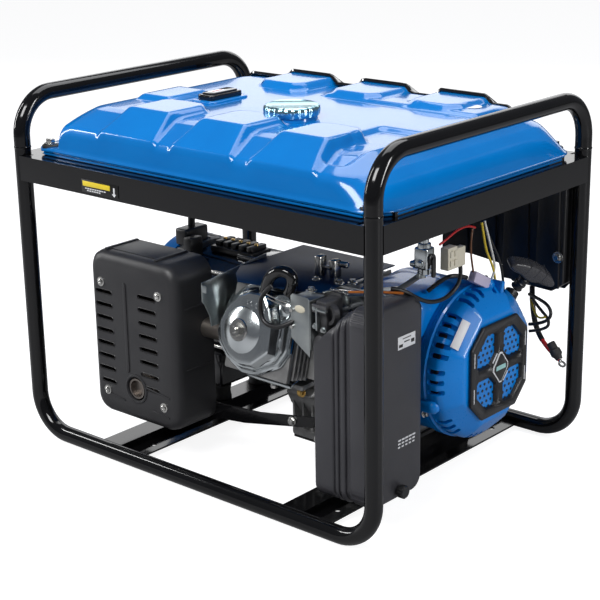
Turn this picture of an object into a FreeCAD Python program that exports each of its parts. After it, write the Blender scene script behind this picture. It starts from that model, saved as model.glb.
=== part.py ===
import FreeCAD, Part
import math
import os
import Sketcher
from FreeCAD import Placement, Rotation, Vector

# Portable generator with a tube frame: a single-cylinder engine and an alternator on one shaft that runs
# along X, a fuel tank in the top of the frame and a control box on the rear side.
# Frame of the model: +X is the recoil starter end, -Y the muffler side, +Z up. The origin is on the
# ground, under the centre of the frame. All sizes are in millimetres.

os.makedirs("parts", exist_ok=True)
doc = FreeCAD.newDocument("generator")

# ---------------------------------------------------------------- driving dimensions
DIMENSIONS = [
    ("frame_length", 700), ("frame_width", 520), ("frame_height", 555),
    ("tube_diameter", 25), ("tube_wall", 1.8), ("tube_bend", 60), ("handle_weld_height", 466),
    ("bar_height", 38), ("bar_top", 455), ("bar_flange", 32), ("sheet_thickness", 3), ("bar_reach", 332),
    ("beam_left", -178), ("beam_right", 191), ("beam_width", 38), ("beam_top", 24),
    ("beam_drop", 12), ("beam_flange", 35), ("beam_bolt", 9),
    ("shaft_across", 45), ("shaft_height", 182), ("cylinder_tilt", 15), ("cylinder_along", 81),
    ("bore_radius", 44), ("throw", 32), ("rod_length", 100), ("head_distance", 165),
    ("case_left", 12), ("case_right", 150), ("base_height", 60), ("mount_height", 48),
    ("seam_along", 277), ("cover_radius", 112), ("cover_front", 330), ("grille_radius", 70),
    ("shell_radius", 84), ("shell_left", -232), ("shell_right", -42), ("end_radius", 95),
    ("tank_length", 676), ("tank_width", 470), ("flange_height", 463), ("tank_wall_top", 500),
    ("tank_top", 524), ("tank_bolt_along", 300), ("tank_bolt_across", 217), ("tank_bottom", 405),
    ("cap_along", 45), ("cap_across", -65), ("cap_radius", 41),
    ("muffler_left", -237), ("muffler_right", -55), ("muffler_front", -218), ("muffler_back", -138),
    ("muffler_bottom", 58), ("muffler_top", 318), ("shield_wall", 2),
    ("cleaner_left", 211), ("cleaner_split", 262), ("cleaner_right", 310), ("cleaner_front", -220),
    ("cleaner_back", -103), ("cleaner_bottom", 38), ("cleaner_top", 318), ("cleaner_wall", 2.5),
    ("box_left", 100), ("box_right", 324), ("box_bottom", 243), ("box_back", 226), ("panel_face", 256),
    ("panel_thickness", 3),
]
sheet = doc.addObject("Spreadsheet::Sheet", "dims")
for row, (alias, number) in enumerate(DIMENSIONS, start=1):
    sheet.set(f"A{row}", alias)
    sheet.set(f"B{row}", str(number))
    sheet.setAlias(f"B{row}", alias)
doc.recompute()


def dim(alias):
    """Number in the sheet's cell of this alias."""
    return float(sheet.get(alias))


def link(alias):
    """Expression that reads one cell."""
    return f"dims.{alias}"


TUBE_R = dim("tube_diameter") / 2
POST_X = dim("frame_length") / 2 - TUBE_R
POST_Y = dim("frame_width") / 2 - TUBE_R
HANDLE_Z = dim("frame_height") - TUBE_R
SHAFT_Y = dim("shaft_across")
SHAFT_Z = dim("shaft_height")
nodes = []


def keep(shape_object, label):
    """Name a finished sub-part, whose label is its file's name."""
    shape_object.Label = label
    nodes.append(shape_object)
    return shape_object


# ---------------------------------------------------------------- PartDesign helpers
def new_body(label, finished=True):
    """Empty body; one that is only material for a boolean isn't a finished sub-part."""
    body = doc.addObject("PartDesign::Body", label)
    if finished:
        keep(body, label)
    return body


def sketch_on(body, plane, offset=0.0, name="Sketch"):
    """Empty sketch on one of the body's own origin planes, moved along the plane's normal."""
    sketch = body.newObject("Sketcher::SketchObject", name)
    origin_plane = [f for f in body.Origin.OriginFeatures if f.Role == plane][0]
    sketch.AttachmentSupport = (origin_plane, [""])
    sketch.MapMode = "FlatFace"
    sketch.AttachmentOffset = Placement(Vector(0, 0, offset), Rotation())
    return sketch


def draw_outline(sketch, points):
    """Closed outline of straight lines, each end tied to the next."""
    first = sketch.GeometryCount
    count = len(points)
    for i in range(count):
        a = points[i]
        b = points[(i + 1) % count]
        sketch.addGeometry(Part.LineSegment(Vector(a[0], a[1], 0), Vector(b[0], b[1], 0)), False)
    for i in range(count):
        following = first + (i + 1) % count
        sketch.addConstraint(Sketcher.Constraint("Coincident", first + i, 2, following, 1))


def draw_circle(sketch, centre, radius, cell=None, share=1.0):
    """Circle whose radius follows a cell where one is named."""
    index = sketch.addGeometry(Part.Circle(Vector(centre[0], centre[1], 0), Vector(0, 0, 1), radius), False)
    if cell:
        number = sketch.addConstraint(Sketcher.Constraint("Radius", index, radius))
        sketch.setExpression(f"Constraints[{number}]", f"{link(cell)} * {share}")


def pad(body, sketch, length, expression=None, midplane=False, reverse=False):
    feature = body.newObject("PartDesign::Pad", "Pad")
    feature.Profile = sketch
    feature.Length = length
    if midplane:
        feature.SideType = "Symmetric"
    feature.Reversed = reverse
    if expression:
        feature.setExpression("Length", expression)
    return feature


def pocket(body, sketch, depth=None, midplane=False, reverse=False):
    """Cut a sketch into the body, through all where no depth is given."""
    doc.recompute()
    volume = body.Shape.Volume
    feature = body.newObject("PartDesign::Pocket", "Pocket")
    feature.Profile = sketch
    if depth is None:
        feature.Type = "ThroughAll"
    else:
        feature.Length = depth
    if midplane:
        feature.SideType = "Symmetric"
    feature.Reversed = reverse
    doc.recompute()
    if body.Shape.Volume > volume - 1.0:
        raise RuntimeError(f"pocket in {body.Label} cut nothing")
    return feature


def revolve(body, sketch, angle=360.0):
    feature = body.newObject("PartDesign::Revolution", "Revolution")
    feature.Profile = sketch
    feature.ReferenceAxis = (sketch, ["H_Axis"])
    feature.Angle = angle
    return feature


def shaft_body(label, outline, along=0.0):
    """Body of revolution about the crankshaft's axis; the outline is (along X, radius)."""
    body = new_body(label)
    sketch = sketch_on(body, "XZ_Plane")
    draw_outline(sketch, outline)
    revolve(body, sketch)
    body.Placement = Placement(Vector(along, SHAFT_Y, SHAFT_Z), Rotation())
    return body


def bar_body(label, plane, outline, length, expression=None, centre=(0, 0, 0), turn=Rotation()):
    """Straight bar of one section, padded both ways from its sketch plane."""
    body = new_body(label)
    sketch = sketch_on(body, plane)
    draw_outline(sketch, outline)
    pad(body, sketch, length, expression, midplane=True)
    body.Placement = Placement(Vector(*centre), turn)
    return body


# ---------------------------------------------------------------- Part helpers
def box(name, low, high, cells=None):
    """Part box between two corners; cells gives expressions for its sizes where they follow the sheet."""
    solid = doc.addObject("Part::Box", name)
    solid.Length = high[0] - low[0]
    solid.Width = high[1] - low[1]
    solid.Height = high[2] - low[2]
    solid.Placement.Base = Vector(*low)
    for attribute, expression in (cells or {}).items():
        solid.setExpression(attribute, expression)
    return solid


AXES = {
    "x": Rotation(Vector(0, 1, 0), 90),
    "y": Rotation(Vector(1, 0, 0), -90),
    "z": Rotation(),
}


def rod(name, start, radius, length, axis="z", cell=None, share=1.0):
    """Part cylinder from a start point along a model axis or a turn of its own."""
    solid = doc.addObject("Part::Cylinder", name)
    solid.Radius = radius
    solid.Height = length
    turn = AXES[axis] if isinstance(axis, str) else axis
    solid.Placement = Placement(Vector(*start), turn)
    if cell:
        solid.setExpression("Radius", f"{link(cell)} * {share}")
    return solid


def cut(name, base, tool):
    result = doc.addObject("Part::Cut", name)
    result.Base = base
    result.Tool = tool
    return result


def fuse(name, *solids):
    result = doc.addObject("Part::MultiFuse", name)
    result.Shapes = list(solids)
    return result


def group(label, *solids):
    """Separate solids of like pieces that share one node."""
    result = doc.addObject("Part::Compound", label)
    result.Links = list(solids)
    return keep(result, label)


# ---------------------------------------------------------------- tubes and cords
def rounded_path(points, share=0.45, bend=None):
    """Wire of straight runs joined by tangent arcs; returns it with its length and arc radii."""
    spots = [Vector(*p) for p in points]
    edges = []
    radii = []
    start = spots[0]
    for i in range(1, len(spots) - 1):
        before = spots[i - 1] - spots[i]
        after = spots[i + 1] - spots[i]
        turn = math.pi - before.getAngle(after)
        short = min(before.Length, after.Length)
        radius = bend if bend else share * short / math.tan(turn / 2)
        reach = radius * math.tan(turn / 2)
        first = spots[i] + before.normalize() * reach
        last = spots[i] + after.normalize() * reach
        middle = before + after
        middle.normalize()
        top = spots[i] + middle * (radius / math.cos(turn / 2) - radius)
        edges.append(Part.LineSegment(start, first).toShape())
        edges.append(Part.Arc(first, top, last).toShape())
        radii.append(radius)
        start = last
    edges.append(Part.LineSegment(start, spots[-1]).toShape())
    return Part.Wire(edges), radii


def cord(label, points, radius):
    """Solid tube along a hand-chosen route."""
    wire, radii = rounded_path(points)
    start_direction = Vector(*points[1]) - Vector(*points[0])
    disc = Part.Wire([Part.makeCircle(radius, Vector(*points[0]), start_direction)])
    shape = wire.makePipeShell([disc], True, False)
    expected = math.pi * radius ** 2 * wire.Length
    print(label, "length", round(wire.Length), "smallest arc", round(min(radii), 1),
          "diameters", round(min(radii) / radius / 2, 1), "volume ratio", round(shape.Volume / expected, 3))
    feature = doc.addObject("Part::Feature", label)
    feature.Shape = shape
    return keep(feature, label)


# ---------------------------------------------------------------- frame tubes
def tube_hoop(label, plane, offset, half_span, low, high, weld, section_centre):
    """U of round tube: two legs that end at the weld height, two bends and a run between them."""
    bend = dim("tube_bend")
    run = low if low is not None else high
    lift = bend if low is not None else -bend
    body = new_body(label)
    path = sketch_on(body, plane, offset, "Path")
    side = half_span - bend
    path.addGeometry(Part.LineSegment(Vector(-half_span, weld, 0), Vector(-half_span, run + lift, 0)), False)
    for centre_x, start in ((-side, math.pi), (side, 1.5 * math.pi)):
        turn = start if low is not None else (math.pi / 2 if centre_x < 0 else 0.0)
        arc = Part.ArcOfCircle(Part.Circle(Vector(centre_x, run + lift, 0), Vector(0, 0, 1), bend),
                               turn, turn + math.pi / 2)
        if centre_x > 0:
            path.addGeometry(Part.LineSegment(Vector(-side, run, 0), Vector(side, run, 0)), False)
        path.addGeometry(arc, False)
    path.addGeometry(Part.LineSegment(Vector(half_span, run + lift, 0), Vector(half_span, weld, 0)), False)
    section = sketch_on(body, "XY_Plane", weld, "Section")
    draw_circle(section, section_centre, TUBE_R, "tube_diameter", 0.5)
    draw_circle(section, section_centre, TUBE_R - dim("tube_wall"))
    pipe = body.newObject("PartDesign::AdditivePipe", "Tube")
    pipe.Profile = section
    pipe.Spine = (path, [f"Edge{i}" for i in range(1, 6)])
    return body


WELD_Z = dim("handle_weld_height")
for label, side in (("frame_front_tube", -1), ("frame_rear_tube", 1)):
    tube_hoop(label, "XZ_Plane", -side * POST_Y, POST_X, TUBE_R, None, WELD_Z, (-POST_X, side * POST_Y))
for label, side in (("carry_handle_left", -1), ("carry_handle_right", 1)):
    tube_hoop(label, "YZ_Plane", side * POST_X, POST_Y, None, HANDLE_Z, WELD_Z, (side * POST_X, -POST_Y))

# ---------------------------------------------------------------- flat top bars between the posts
BAR_TOP = dim("bar_top")
BAR_LOW = BAR_TOP - dim("bar_height")
SHEET = dim("sheet_thickness")
OUT_X = dim("frame_length") / 2
OUT_Y = dim("frame_width") / 2
FLANGE = dim("bar_flange")
REACH = dim("bar_reach")
LIP = 9


def posts(name):
    """Four solid cylinders where the corner posts stand, to cope the bars against."""
    return fuse(name, *[rod(f"{name}_{i}", (sx * POST_X, sy * POST_Y, BAR_LOW - 20), TUBE_R, 100, "z",
                            "tube_diameter", 0.5)
                        for i, (sx, sy) in enumerate(((-1, -1), (1, -1), (-1, 1), (1, 1)))])


def top_bar(label, side, across):
    """Channel with a deep web outside, a flange on top for the tank and a lip below."""
    inner = OUT_X - FLANGE
    if across:
        end = POST_Y - 5
        web = ((OUT_X - SHEET, -end, BAR_LOW), (OUT_X, end, BAR_TOP))
        flange = ((inner, -end, BAR_TOP - SHEET), (OUT_X - SHEET, end, BAR_TOP))
        lip = ((OUT_X - SHEET - LIP, -end + 15, BAR_LOW), (OUT_X - SHEET, end - 15, BAR_LOW + SHEET))
    else:
        web = ((-REACH, -OUT_Y, BAR_LOW), (REACH, -OUT_Y + SHEET, BAR_TOP))
        flange = ((-inner, -OUT_Y + SHEET, BAR_TOP - SHEET), (inner, -OUT_Y + FLANGE, BAR_TOP))
        lip = ((-inner, -OUT_Y + SHEET, BAR_LOW), (inner, -OUT_Y + SHEET + LIP, BAR_LOW + SHEET))
    walls = [box(f"{label}_{name}", *corners) for name, corners in
             (("web", web), ("flange", flange), ("lip", lip))]
    walls[0].setExpression("Height", link("bar_height"))
    coped = cut(label, fuse(f"{label}_walls", *walls), posts(f"{label}_posts"))
    if side > 0 and not across or side < 0 and across:
        coped.Placement = Placement(Vector(0, 0, 0), Rotation(Vector(0, 0, 1), 180))
    return keep(coped, label)


top_bar("top_bar_front", -1, False)
top_bar("top_bar_rear", 1, False)
top_bar("top_bar_right", 1, True)
top_bar("top_bar_left", -1, True)

# ---------------------------------------------------------------- cross beams under the machine
BEAM_TOP = dim("beam_top")
BEAM_HALF = dim("beam_width") / 2
BEAM_LOW = BEAM_TOP - dim("beam_drop")
BEAM_EDGE = BEAM_HALF + dim("beam_flange")
BOLT_ACROSS = 190
for label, alias in (("cross_beam_left", "beam_left"), ("cross_beam_right", "beam_right")):
    outline = [(-BEAM_HALF, BEAM_LOW - SHEET), (-BEAM_HALF, BEAM_TOP), (BEAM_HALF, BEAM_TOP),
               (BEAM_HALF, BEAM_LOW), (BEAM_EDGE, BEAM_LOW), (BEAM_EDGE, BEAM_LOW - SHEET),
               (BEAM_HALF - SHEET, BEAM_LOW - SHEET), (BEAM_HALF - SHEET, BEAM_TOP - SHEET),
               (-BEAM_HALF + SHEET, BEAM_TOP - SHEET), (-BEAM_HALF + SHEET, BEAM_LOW - SHEET)]
    beam = bar_body(label, "XZ_Plane", outline, 2 * POST_Y - 9, None, (0, 0, 0))
    rails = sketch_on(beam, "YZ_Plane", 0, "RailNotch")
    for side in (-1, 1):
        draw_circle(rails, (side * POST_Y, TUBE_R), TUBE_R, "tube_diameter", 0.5)
    pocket(beam, rails, None, midplane=True)
    holes = sketch_on(beam, "XY_Plane", 0, "BoltHoles")
    for side in (-1, 1):
        draw_circle(holes, (BEAM_HALF + dim("beam_flange") / 2, side * BOLT_ACROSS),
                    dim("beam_bolt") / 2, "beam_bolt", 0.5)
    pocket(beam, holes, None, midplane=True)
    beam.setExpression("Placement.Base.x", link(alias))

# ---------------------------------------------------------------- rubber mounts and engine base plate
MOUNT_Z = dim("mount_height")
BASE_Z = dim("base_height")
LEFT_X = dim("beam_left")
RIGHT_X = dim("beam_right")
group("rubber_mounts", *[rod(f"mount_{i}", (x, y, BEAM_TOP), 17, MOUNT_Z - BEAM_TOP, "z")
                         for i, (x, y) in enumerate(((LEFT_X, 0), (LEFT_X, 90), (RIGHT_X, -60), (RIGHT_X, 150)))])
plate = box("engine_base", (62, -92, MOUNT_Z), (214, 182, MOUNT_Z + 5))
keep(plate, "engine_base")

# ---------------------------------------------------------------- alternator along the shaft
SHELL_R = dim("shell_radius")
SHELL_L = dim("shell_left")
SHELL_E = dim("shell_right")
END_R = dim("end_radius")
BELL_L = SHELL_L - 36
COVER_L = BELL_L - 30
ROTOR_R = 58
shaft_body("end_bell", [(SHELL_L, END_R - 3), (BELL_L, END_R - 3), (BELL_L, 14.05), (BELL_L + 12, 14.05),
                        (BELL_L + 12, END_R - 9), (SHELL_L, END_R - 9)])
shaft_body("end_cover", [(BELL_L, END_R), (COVER_L + 6, END_R), (COVER_L, END_R - 7), (COVER_L, 0),
                         (COVER_L + 2, 0), (COVER_L + 2, END_R - 8), (COVER_L + 7, END_R - 2),
                         (BELL_L, END_R - 2)])
shaft_body("stator", [(SHELL_L + 27, SHELL_R - 2.3), (SHELL_E - 33, SHELL_R - 2.3),
                      (SHELL_E - 33, ROTOR_R + 1), (SHELL_L + 27, ROTOR_R + 1)])
shaft_body("rotor", [(SHELL_L + 27, ROTOR_R), (SHELL_E - 33, ROTOR_R), (SHELL_E - 33, 14), (SHELL_L + 27, 14)])
shaft_body("alternator_adapter", [(SHELL_E, END_R), (SHELL_E + 6, END_R), (SHELL_E + 6, SHELL_R + 2),
                                  (4, SHELL_R + 2), (4, SHELL_R - 4), (SHELL_E + 6, SHELL_R - 4),
                                  (SHELL_E + 6, 40), (SHELL_E, 40)])
foot_block = box("foot_block", (LEFT_X - 18, SHAFT_Y - 60, MOUNT_Z), (LEFT_X + 18, SHAFT_Y + 60, SHAFT_Z - 60))
foot = cut("foot_saddled", foot_block, rod("foot_saddle", (LEFT_X - 30, SHAFT_Y, SHAFT_Z), SHELL_R - 1, 60, "x"))
shell_tube = cut("shell_tube", rod("shell_outer", (SHELL_L, SHAFT_Y, SHAFT_Z), SHELL_R, SHELL_E - SHELL_L, "x",
                                   "shell_radius"),
                 rod("shell_bore", (SHELL_L - 5, SHAFT_Y, SHAFT_Z), SHELL_R - 2, SHELL_E - SHELL_L + 10, "x"))
keep(fuse("alternator_shell", shell_tube, foot), "alternator_shell")

# ---------------------------------------------------------------- crankcase and cylinder
CASE_L = dim("case_left")
CASE_R = dim("case_right")
TILT = dim("cylinder_tilt")
CYL_X = dim("cylinder_along")
HEAD = dim("head_distance")
CYL_PLACE = Placement(Vector(CYL_X, SHAFT_Y, SHAFT_Z), Rotation(Vector(1, 0, 0), 90 - TILT))
COVER_THICK = 8
JOURNAL = 17.95
CASE_LOW = MOUNT_Z + 5


def case_outline():
    """Side outline of the crankcase, as (across, up)."""
    return [(SHAFT_Y - 78, CASE_LOW), (SHAFT_Y + 83, CASE_LOW), (SHAFT_Y + 83, SHAFT_Z + 58),
            (SHAFT_Y + 58, SHAFT_Z + 82), (SHAFT_Y - 48, SHAFT_Z + 82), (SHAFT_Y - 78, SHAFT_Z + 50)]


case = doc.addObject("PartDesign::Body", "case_body")
case_sketch = sketch_on(case, "YZ_Plane", CASE_L)
draw_outline(case_sketch, case_outline())
pad(case, case_sketch, CASE_R - CASE_L, "dims.case_right - dims.case_left")
cavity = sketch_on(case, "YZ_Plane", CASE_L, "Cavity")
draw_circle(cavity, (SHAFT_Y, SHAFT_Z), 70)
pocket(case, cavity, CASE_R - CASE_L - COVER_THICK, reverse=True)
journal = sketch_on(case, "YZ_Plane", CASE_R, "Journal")
draw_circle(journal, (SHAFT_Y, SHAFT_Z), JOURNAL + 0.05)
pocket(case, journal, 20)
barrel = box("barrel", (-58, -58, 80), (58, 58, HEAD))
barrel.Placement = CYL_PLACE.multiply(Placement(Vector(-58, -58, 72), Rotation()))
barrel.Height = HEAD - 72
foot = box("case_foot", (66, SHAFT_Y - 133, CASE_LOW), (208, SHAFT_Y + 133, CASE_LOW + 11))
solid_case = fuse("case_solid", case, barrel, foot)
bore = rod("bore", (0, 0, 0), 44, 200, "z", "bore_radius")
bore.Placement = CYL_PLACE.multiply(Placement(Vector(0, 0, 30), Rotation()))
hollow = fuse("case_hollow", bore)
hollow.Shapes = [bore, rod("case_room", (CASE_L - 1, SHAFT_Y, SHAFT_Z), 69, CASE_R - CASE_L - 7, "x")]
keep(cut("crankcase", solid_case, hollow), "crankcase")

side_cover = new_body("crankcase_cover")
side_sketch = sketch_on(side_cover, "YZ_Plane", CASE_L - COVER_THICK)
draw_outline(side_sketch, case_outline())
pad(side_cover, side_sketch, COVER_THICK)
cover_bore = sketch_on(side_cover, "YZ_Plane", CASE_L, "CoverBore")
draw_circle(cover_bore, (SHAFT_Y, SHAFT_Z), JOURNAL + 0.05)
pocket(side_cover, cover_bore, 20)

# crankshaft: end journal, webs, crankpin, flywheel end and the rotor's shaft in one piece
THROW = dim("throw")
UP_Y = -math.cos(math.radians(TILT))
UP_Z = math.sin(math.radians(TILT))
PIN_Y = SHAFT_Y + THROW * UP_Y
PIN_Z = SHAFT_Z + THROW * UP_Z
crank_rods = [rod("crank_left", (SHELL_E + 8, SHAFT_Y, SHAFT_Z), JOURNAL, CYL_X - 9 - SHELL_E - 8, "x"),
              rod("crank_right", (CYL_X + 9, SHAFT_Y, SHAFT_Z), JOURNAL, 172 - CYL_X - 9, "x"),
              rod("rotor_shaft", (BELL_L - 2, SHAFT_Y, SHAFT_Z), 14, SHELL_E + 8 - BELL_L + 2, "x"),
              rod("web_left", (CYL_X - 22, SHAFT_Y, SHAFT_Z), 52, 13, "x"),
              rod("web_right", (CYL_X + 9, SHAFT_Y, SHAFT_Z), 52, 13, "x"),
              rod("crankpin", (CYL_X - 9, PIN_Y, PIN_Z), JOURNAL, 18, "x")]
keep(fuse("crankshaft", *crank_rods), "crankshaft")

ROD_L = dim("rod_length")
big_end = rod("big_end", (-8, 0, THROW), 27, 16, "x")
shank = box("shank", (-4, -5, THROW + 20), (4, 5, THROW + ROD_L))
small_end = rod("small_end", (-6, 0, THROW + ROD_L), 6, 12, "x")
pin_bore = rod("pin_bore", (-9, 0, THROW), JOURNAL + 0.05, 18, "x")
conrod = cut("connecting_rod", fuse("rod_solid", big_end, shank, small_end), pin_bore)
conrod.Placement = CYL_PLACE
keep(conrod, "connecting_rod")

piston = new_body("piston")
piston_sketch = sketch_on(piston, "XZ_Plane")
CROWN = HEAD - 3
draw_outline(piston_sketch, [(0, CROWN - 8), (0, CROWN), (43.7, CROWN), (43.7, CROWN - 50), (39.8, CROWN - 50),
                             (39.8, CROWN - 8)])
turned = piston.newObject("PartDesign::Revolution", "Revolution")
turned.Profile = piston_sketch
turned.ReferenceAxis = (piston_sketch, ["V_Axis"])
turned.Angle = 360
piston.Placement = CYL_PLACE

HEAD_LEFT = -66
HEAD_RIGHT = 56
head = box("cylinder_head", (HEAD_LEFT, -58, HEAD), (HEAD_RIGHT, 58, HEAD + 47))
head.Placement = CYL_PLACE.multiply(Placement(Vector(HEAD_LEFT, -58, HEAD), Rotation()))
keep(head, "cylinder_head")

valve_cover = new_body("valve_cover")
cover_sketch = sketch_on(valve_cover, "XY_Plane", HEAD + 47)
draw_outline(cover_sketch, [(-36, 62), (22, 62), (40, 50), (46, 32), (46, -24), (31, -46), (-10, -64), (-39, -65),
                            (-68, -51), (-86, -34), (-93, -17), (-82, 18), (-69, 40), (-54, 55)])
pad(valve_cover, cover_sketch, 26)
dome = sketch_on(valve_cover, "XY_Plane", HEAD + 73, "Dome")
draw_circle(dome, (-26, -3), 34)
pad(valve_cover, dome, 7)
valve_cover.Placement = CYL_PLACE
keep(rod("plug_cap", (CYL_X + HEAD_LEFT - 21, -128, 246), 9, 21, "x"), "plug_cap")

# ---------------------------------------------------------------- sheet metal round the cylinder
SHROUD_TOP = 307
shroud_top = box("shroud_top", (-14, -178, SHROUD_TOP - 2), (163, 24, SHROUD_TOP))
shroud_post = box("shroud_post", (0, 0, 0), (60, 19, 12))
shroud_post.Placement = CYL_PLACE.multiply(Placement(Vector(-30, 58, 185), Rotation()))
keep(fuse("cylinder_shroud", shroud_top, shroud_post), "cylinder_shroud")
baffle = new_body("baffle_plate")
baffle_sketch = sketch_on(baffle, "YZ_Plane", -16)
draw_outline(baffle_sketch, [(-186, 262), (-186, 296), (-60, SHROUD_TOP), (-60, 260), (-120, 240), (-160, 240)])
pad(baffle, baffle_sketch, 2)
keep(fuse("control_bracket", box("bracket_plate", (153, -192, 226), (184, -190, 315)),
          box("bracket_arm", (156, -191, 262), (165, -165, 265))), "control_bracket")

# ---------------------------------------------------------------- flywheel, fan and their housing
SEAM = dim("seam_along")
COVER_R = dim("cover_radius")
FRONT = dim("cover_front")
flywheel_disc = rod("flywheel_disc", (172, SHAFT_Y, SHAFT_Z), 94, 20, "x")
fan_ring = rod("fan_ring", (192, SHAFT_Y, SHAFT_Z), 96, 4, "x")
cup = cut("starter_cup", rod("cup_outer", (190, SHAFT_Y, SHAFT_Z), 34, 94, "x"),
          rod("cup_inner", (200, SHAFT_Y, SHAFT_Z), 31, 90, "x"))
blades = []
for i in range(14):
    blade = box(f"fan_blade_{i}", (0, 0, 0), (26, 3, 34))
    swing = Placement(Vector(194, SHAFT_Y, SHAFT_Z), Rotation(Vector(1, 0, 0), 360.0 * i / 14))
    blade.Placement = swing.multiply(Placement(Vector(0, -1.5, 58), Rotation()))
    blades.append(blade)
keep(fuse("flywheel", flywheel_disc, fan_ring, cup, *blades), "flywheel")

HOUSING_L = CASE_R
WALL = 3
outer = fuse("housing_outer",
             rod("housing_round", (HOUSING_L, SHAFT_Y, SHAFT_Z), COVER_R, SEAM - HOUSING_L, "x", "cover_radius"),
             box("housing_scroll", (HOUSING_L, -62, 228), (SEAM, SHAFT_Y, SHAFT_Z + COVER_R)))
inner = fuse("housing_inner",
             rod("housing_hollow", (HOUSING_L + WALL, SHAFT_Y, SHAFT_Z), COVER_R - WALL, 140, "x"),
             rod("housing_eye", (HOUSING_L - 5, SHAFT_Y, SHAFT_Z), 30, 20, "x"),
             box("scroll_hollow", (HOUSING_L + WALL, -59, 231), (290, SHAFT_Y, SHAFT_Z + COVER_R - WALL)))
keep(cut("blower_housing", outer, inner), "blower_housing")

GUIDE_X = 288
GUIDE_TURN = Rotation(Vector(0, 0, 1), Vector(0, 101, 80))


def guide_rod(name, radius, start, length):
    """Rod on the rope guide's line, which runs out from the shaft toward the handle."""
    piece = rod(name, (0, 0, 0), radius, length, "z")
    piece.Placement = Placement(Vector(GUIDE_X, SHAFT_Y, SHAFT_Z), GUIDE_TURN).multiply(
        Placement(Vector(0, 0, start), Rotation()))
    return piece


cover_solid = fuse("cover_solid", rod("cover_drum", (SEAM, SHAFT_Y, SHAFT_Z), COVER_R, FRONT - 28 - SEAM, "x",
                                      "cover_radius"),
                   guide_rod("guide_boss", 10, COVER_R - 4, 20))
cone = doc.addObject("Part::Cone", "cover_cone")
cone.Radius1 = COVER_R
cone.Radius2 = 78
cone.Height = 28
cone.Placement = Placement(Vector(FRONT - 28, SHAFT_Y, SHAFT_Z), Rotation(Vector(0, 1, 0), 90))
cone_room = doc.addObject("Part::Cone", "cover_cone_room")
cone_room.Radius1 = COVER_R - WALL
cone_room.Radius2 = 78 - WALL
cone_room.Height = 25
cone_room.Placement = Placement(Vector(FRONT - 28, SHAFT_Y, SHAFT_Z), Rotation(Vector(0, 1, 0), 90))
cover_room = fuse("cover_room", rod("cover_drum_room", (SEAM - 1, SHAFT_Y, SHAFT_Z), COVER_R - WALL,
                                    FRONT - 27 - SEAM, "x"),
                  cone_room, guide_rod("guide_bore", 7, 90, 60))
cover_shell = cut("cover_shell", fuse("cover_full", cover_solid, cone), cover_room)
keep(fuse("recoil_cover", cover_shell, rod("reel_post", (FRONT - 36, SHAFT_Y, SHAFT_Z), 10, 35, "x")), "recoil_cover")
shaft_body("recoil_reel", [(FRONT - 34, 60), (FRONT - 32, 60), (FRONT - 31, 55), (FRONT - 23, 55),
                           (FRONT - 22, 60), (FRONT - 20, 60), (FRONT - 20, 10.05), (FRONT - 34, 10.05)])
keep(rod("grille_mesh", (FRONT, SHAFT_Y, SHAFT_Z), 66, 1, "x"), "grille_mesh")
grille = new_body("recoil_grille")
grille_sketch = sketch_on(grille, "YZ_Plane", FRONT + 1)
GRILLE = dim("grille_radius")
CORNER = 42
octagon = [(GRILLE, -CORNER), (GRILLE, CORNER), (CORNER, GRILLE), (-CORNER, GRILLE), (-GRILLE, CORNER),
           (-GRILLE, -CORNER), (-CORNER, -GRILLE), (CORNER, -GRILLE)]
draw_outline(grille_sketch, [(SHAFT_Y + y, SHAFT_Z + z) for y, z in octagon])
pad(grille, grille_sketch, 5)
windows = sketch_on(grille, "YZ_Plane", FRONT + 6, "Windows")
window = [(9, 24), (24, 9), (54, 9), (54, 34), (34, 54), (9, 54)]
for sy, sz in ((1, 1), (-1, 1), (-1, -1), (1, -1)):
    draw_outline(windows, [(SHAFT_Y + sy * y, SHAFT_Z + sz * z) for y, z in window])
pocket(grille, windows, 10)

# starter handle, on a line that leans out to +X
PULL = Vector(0.6, 0.2, 0.775).normalize()
BAR_DIRECTION = Vector(28.7, 66.3, -39.6).normalize()
HANDLE_AT = Vector(310, 154, 290)
PULL_TURN = Rotation(BAR_DIRECTION, PULL.cross(BAR_DIRECTION), PULL, "ZXY")
grip = doc.addObject("Part::Fillet", "grip")
grip.Base = box("grip_block", (-44, -11, 0), (44, 11, 15))
grip.Edges = [(i, 4.0, 4.0) for i in range(1, 13)]
stem = rod("grip_stem", (0, 0, -30), 5.5, 34, "z")
handle = fuse("pull_handle", grip, stem)
handle.Placement = Placement(HANDLE_AT, PULL_TURN)
keep(handle, "pull_handle")
rope = rod("starter_rope", (0, 0, 0), 2, 10.8, "z")
rope.Placement = Placement(HANDLE_AT, PULL_TURN).multiply(Placement(Vector(0, 0, -41), Rotation()))
keep(rope, "starter_rope")

# ---------------------------------------------------------------- carburettor and air cleaner
CLEAN_L = dim("cleaner_left")
CLEAN_M = dim("cleaner_split")
CLEAN_R = dim("cleaner_right")
CLEAN_F = dim("cleaner_front")
CLEAN_B = dim("cleaner_back")
CLEAN_Z = dim("cleaner_bottom")
CLEAN_T = dim("cleaner_top")
SKIN = dim("cleaner_wall")
keep(fuse("carburettor", rod("carb_neck", (CYL_X + 60, -140, 255), 14, 20, "x"),
          box("carb_body", (156, -165, 232), (CLEAN_L, -128, 285))), "carburettor")
choke = fuse("choke_lever", rod("choke_hub", (172, -172, 250), 6, 7, "y"),
             box("choke_arm", (169, -172, 250), (175, -169, 282)))
keep(choke, "choke_lever")


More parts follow.
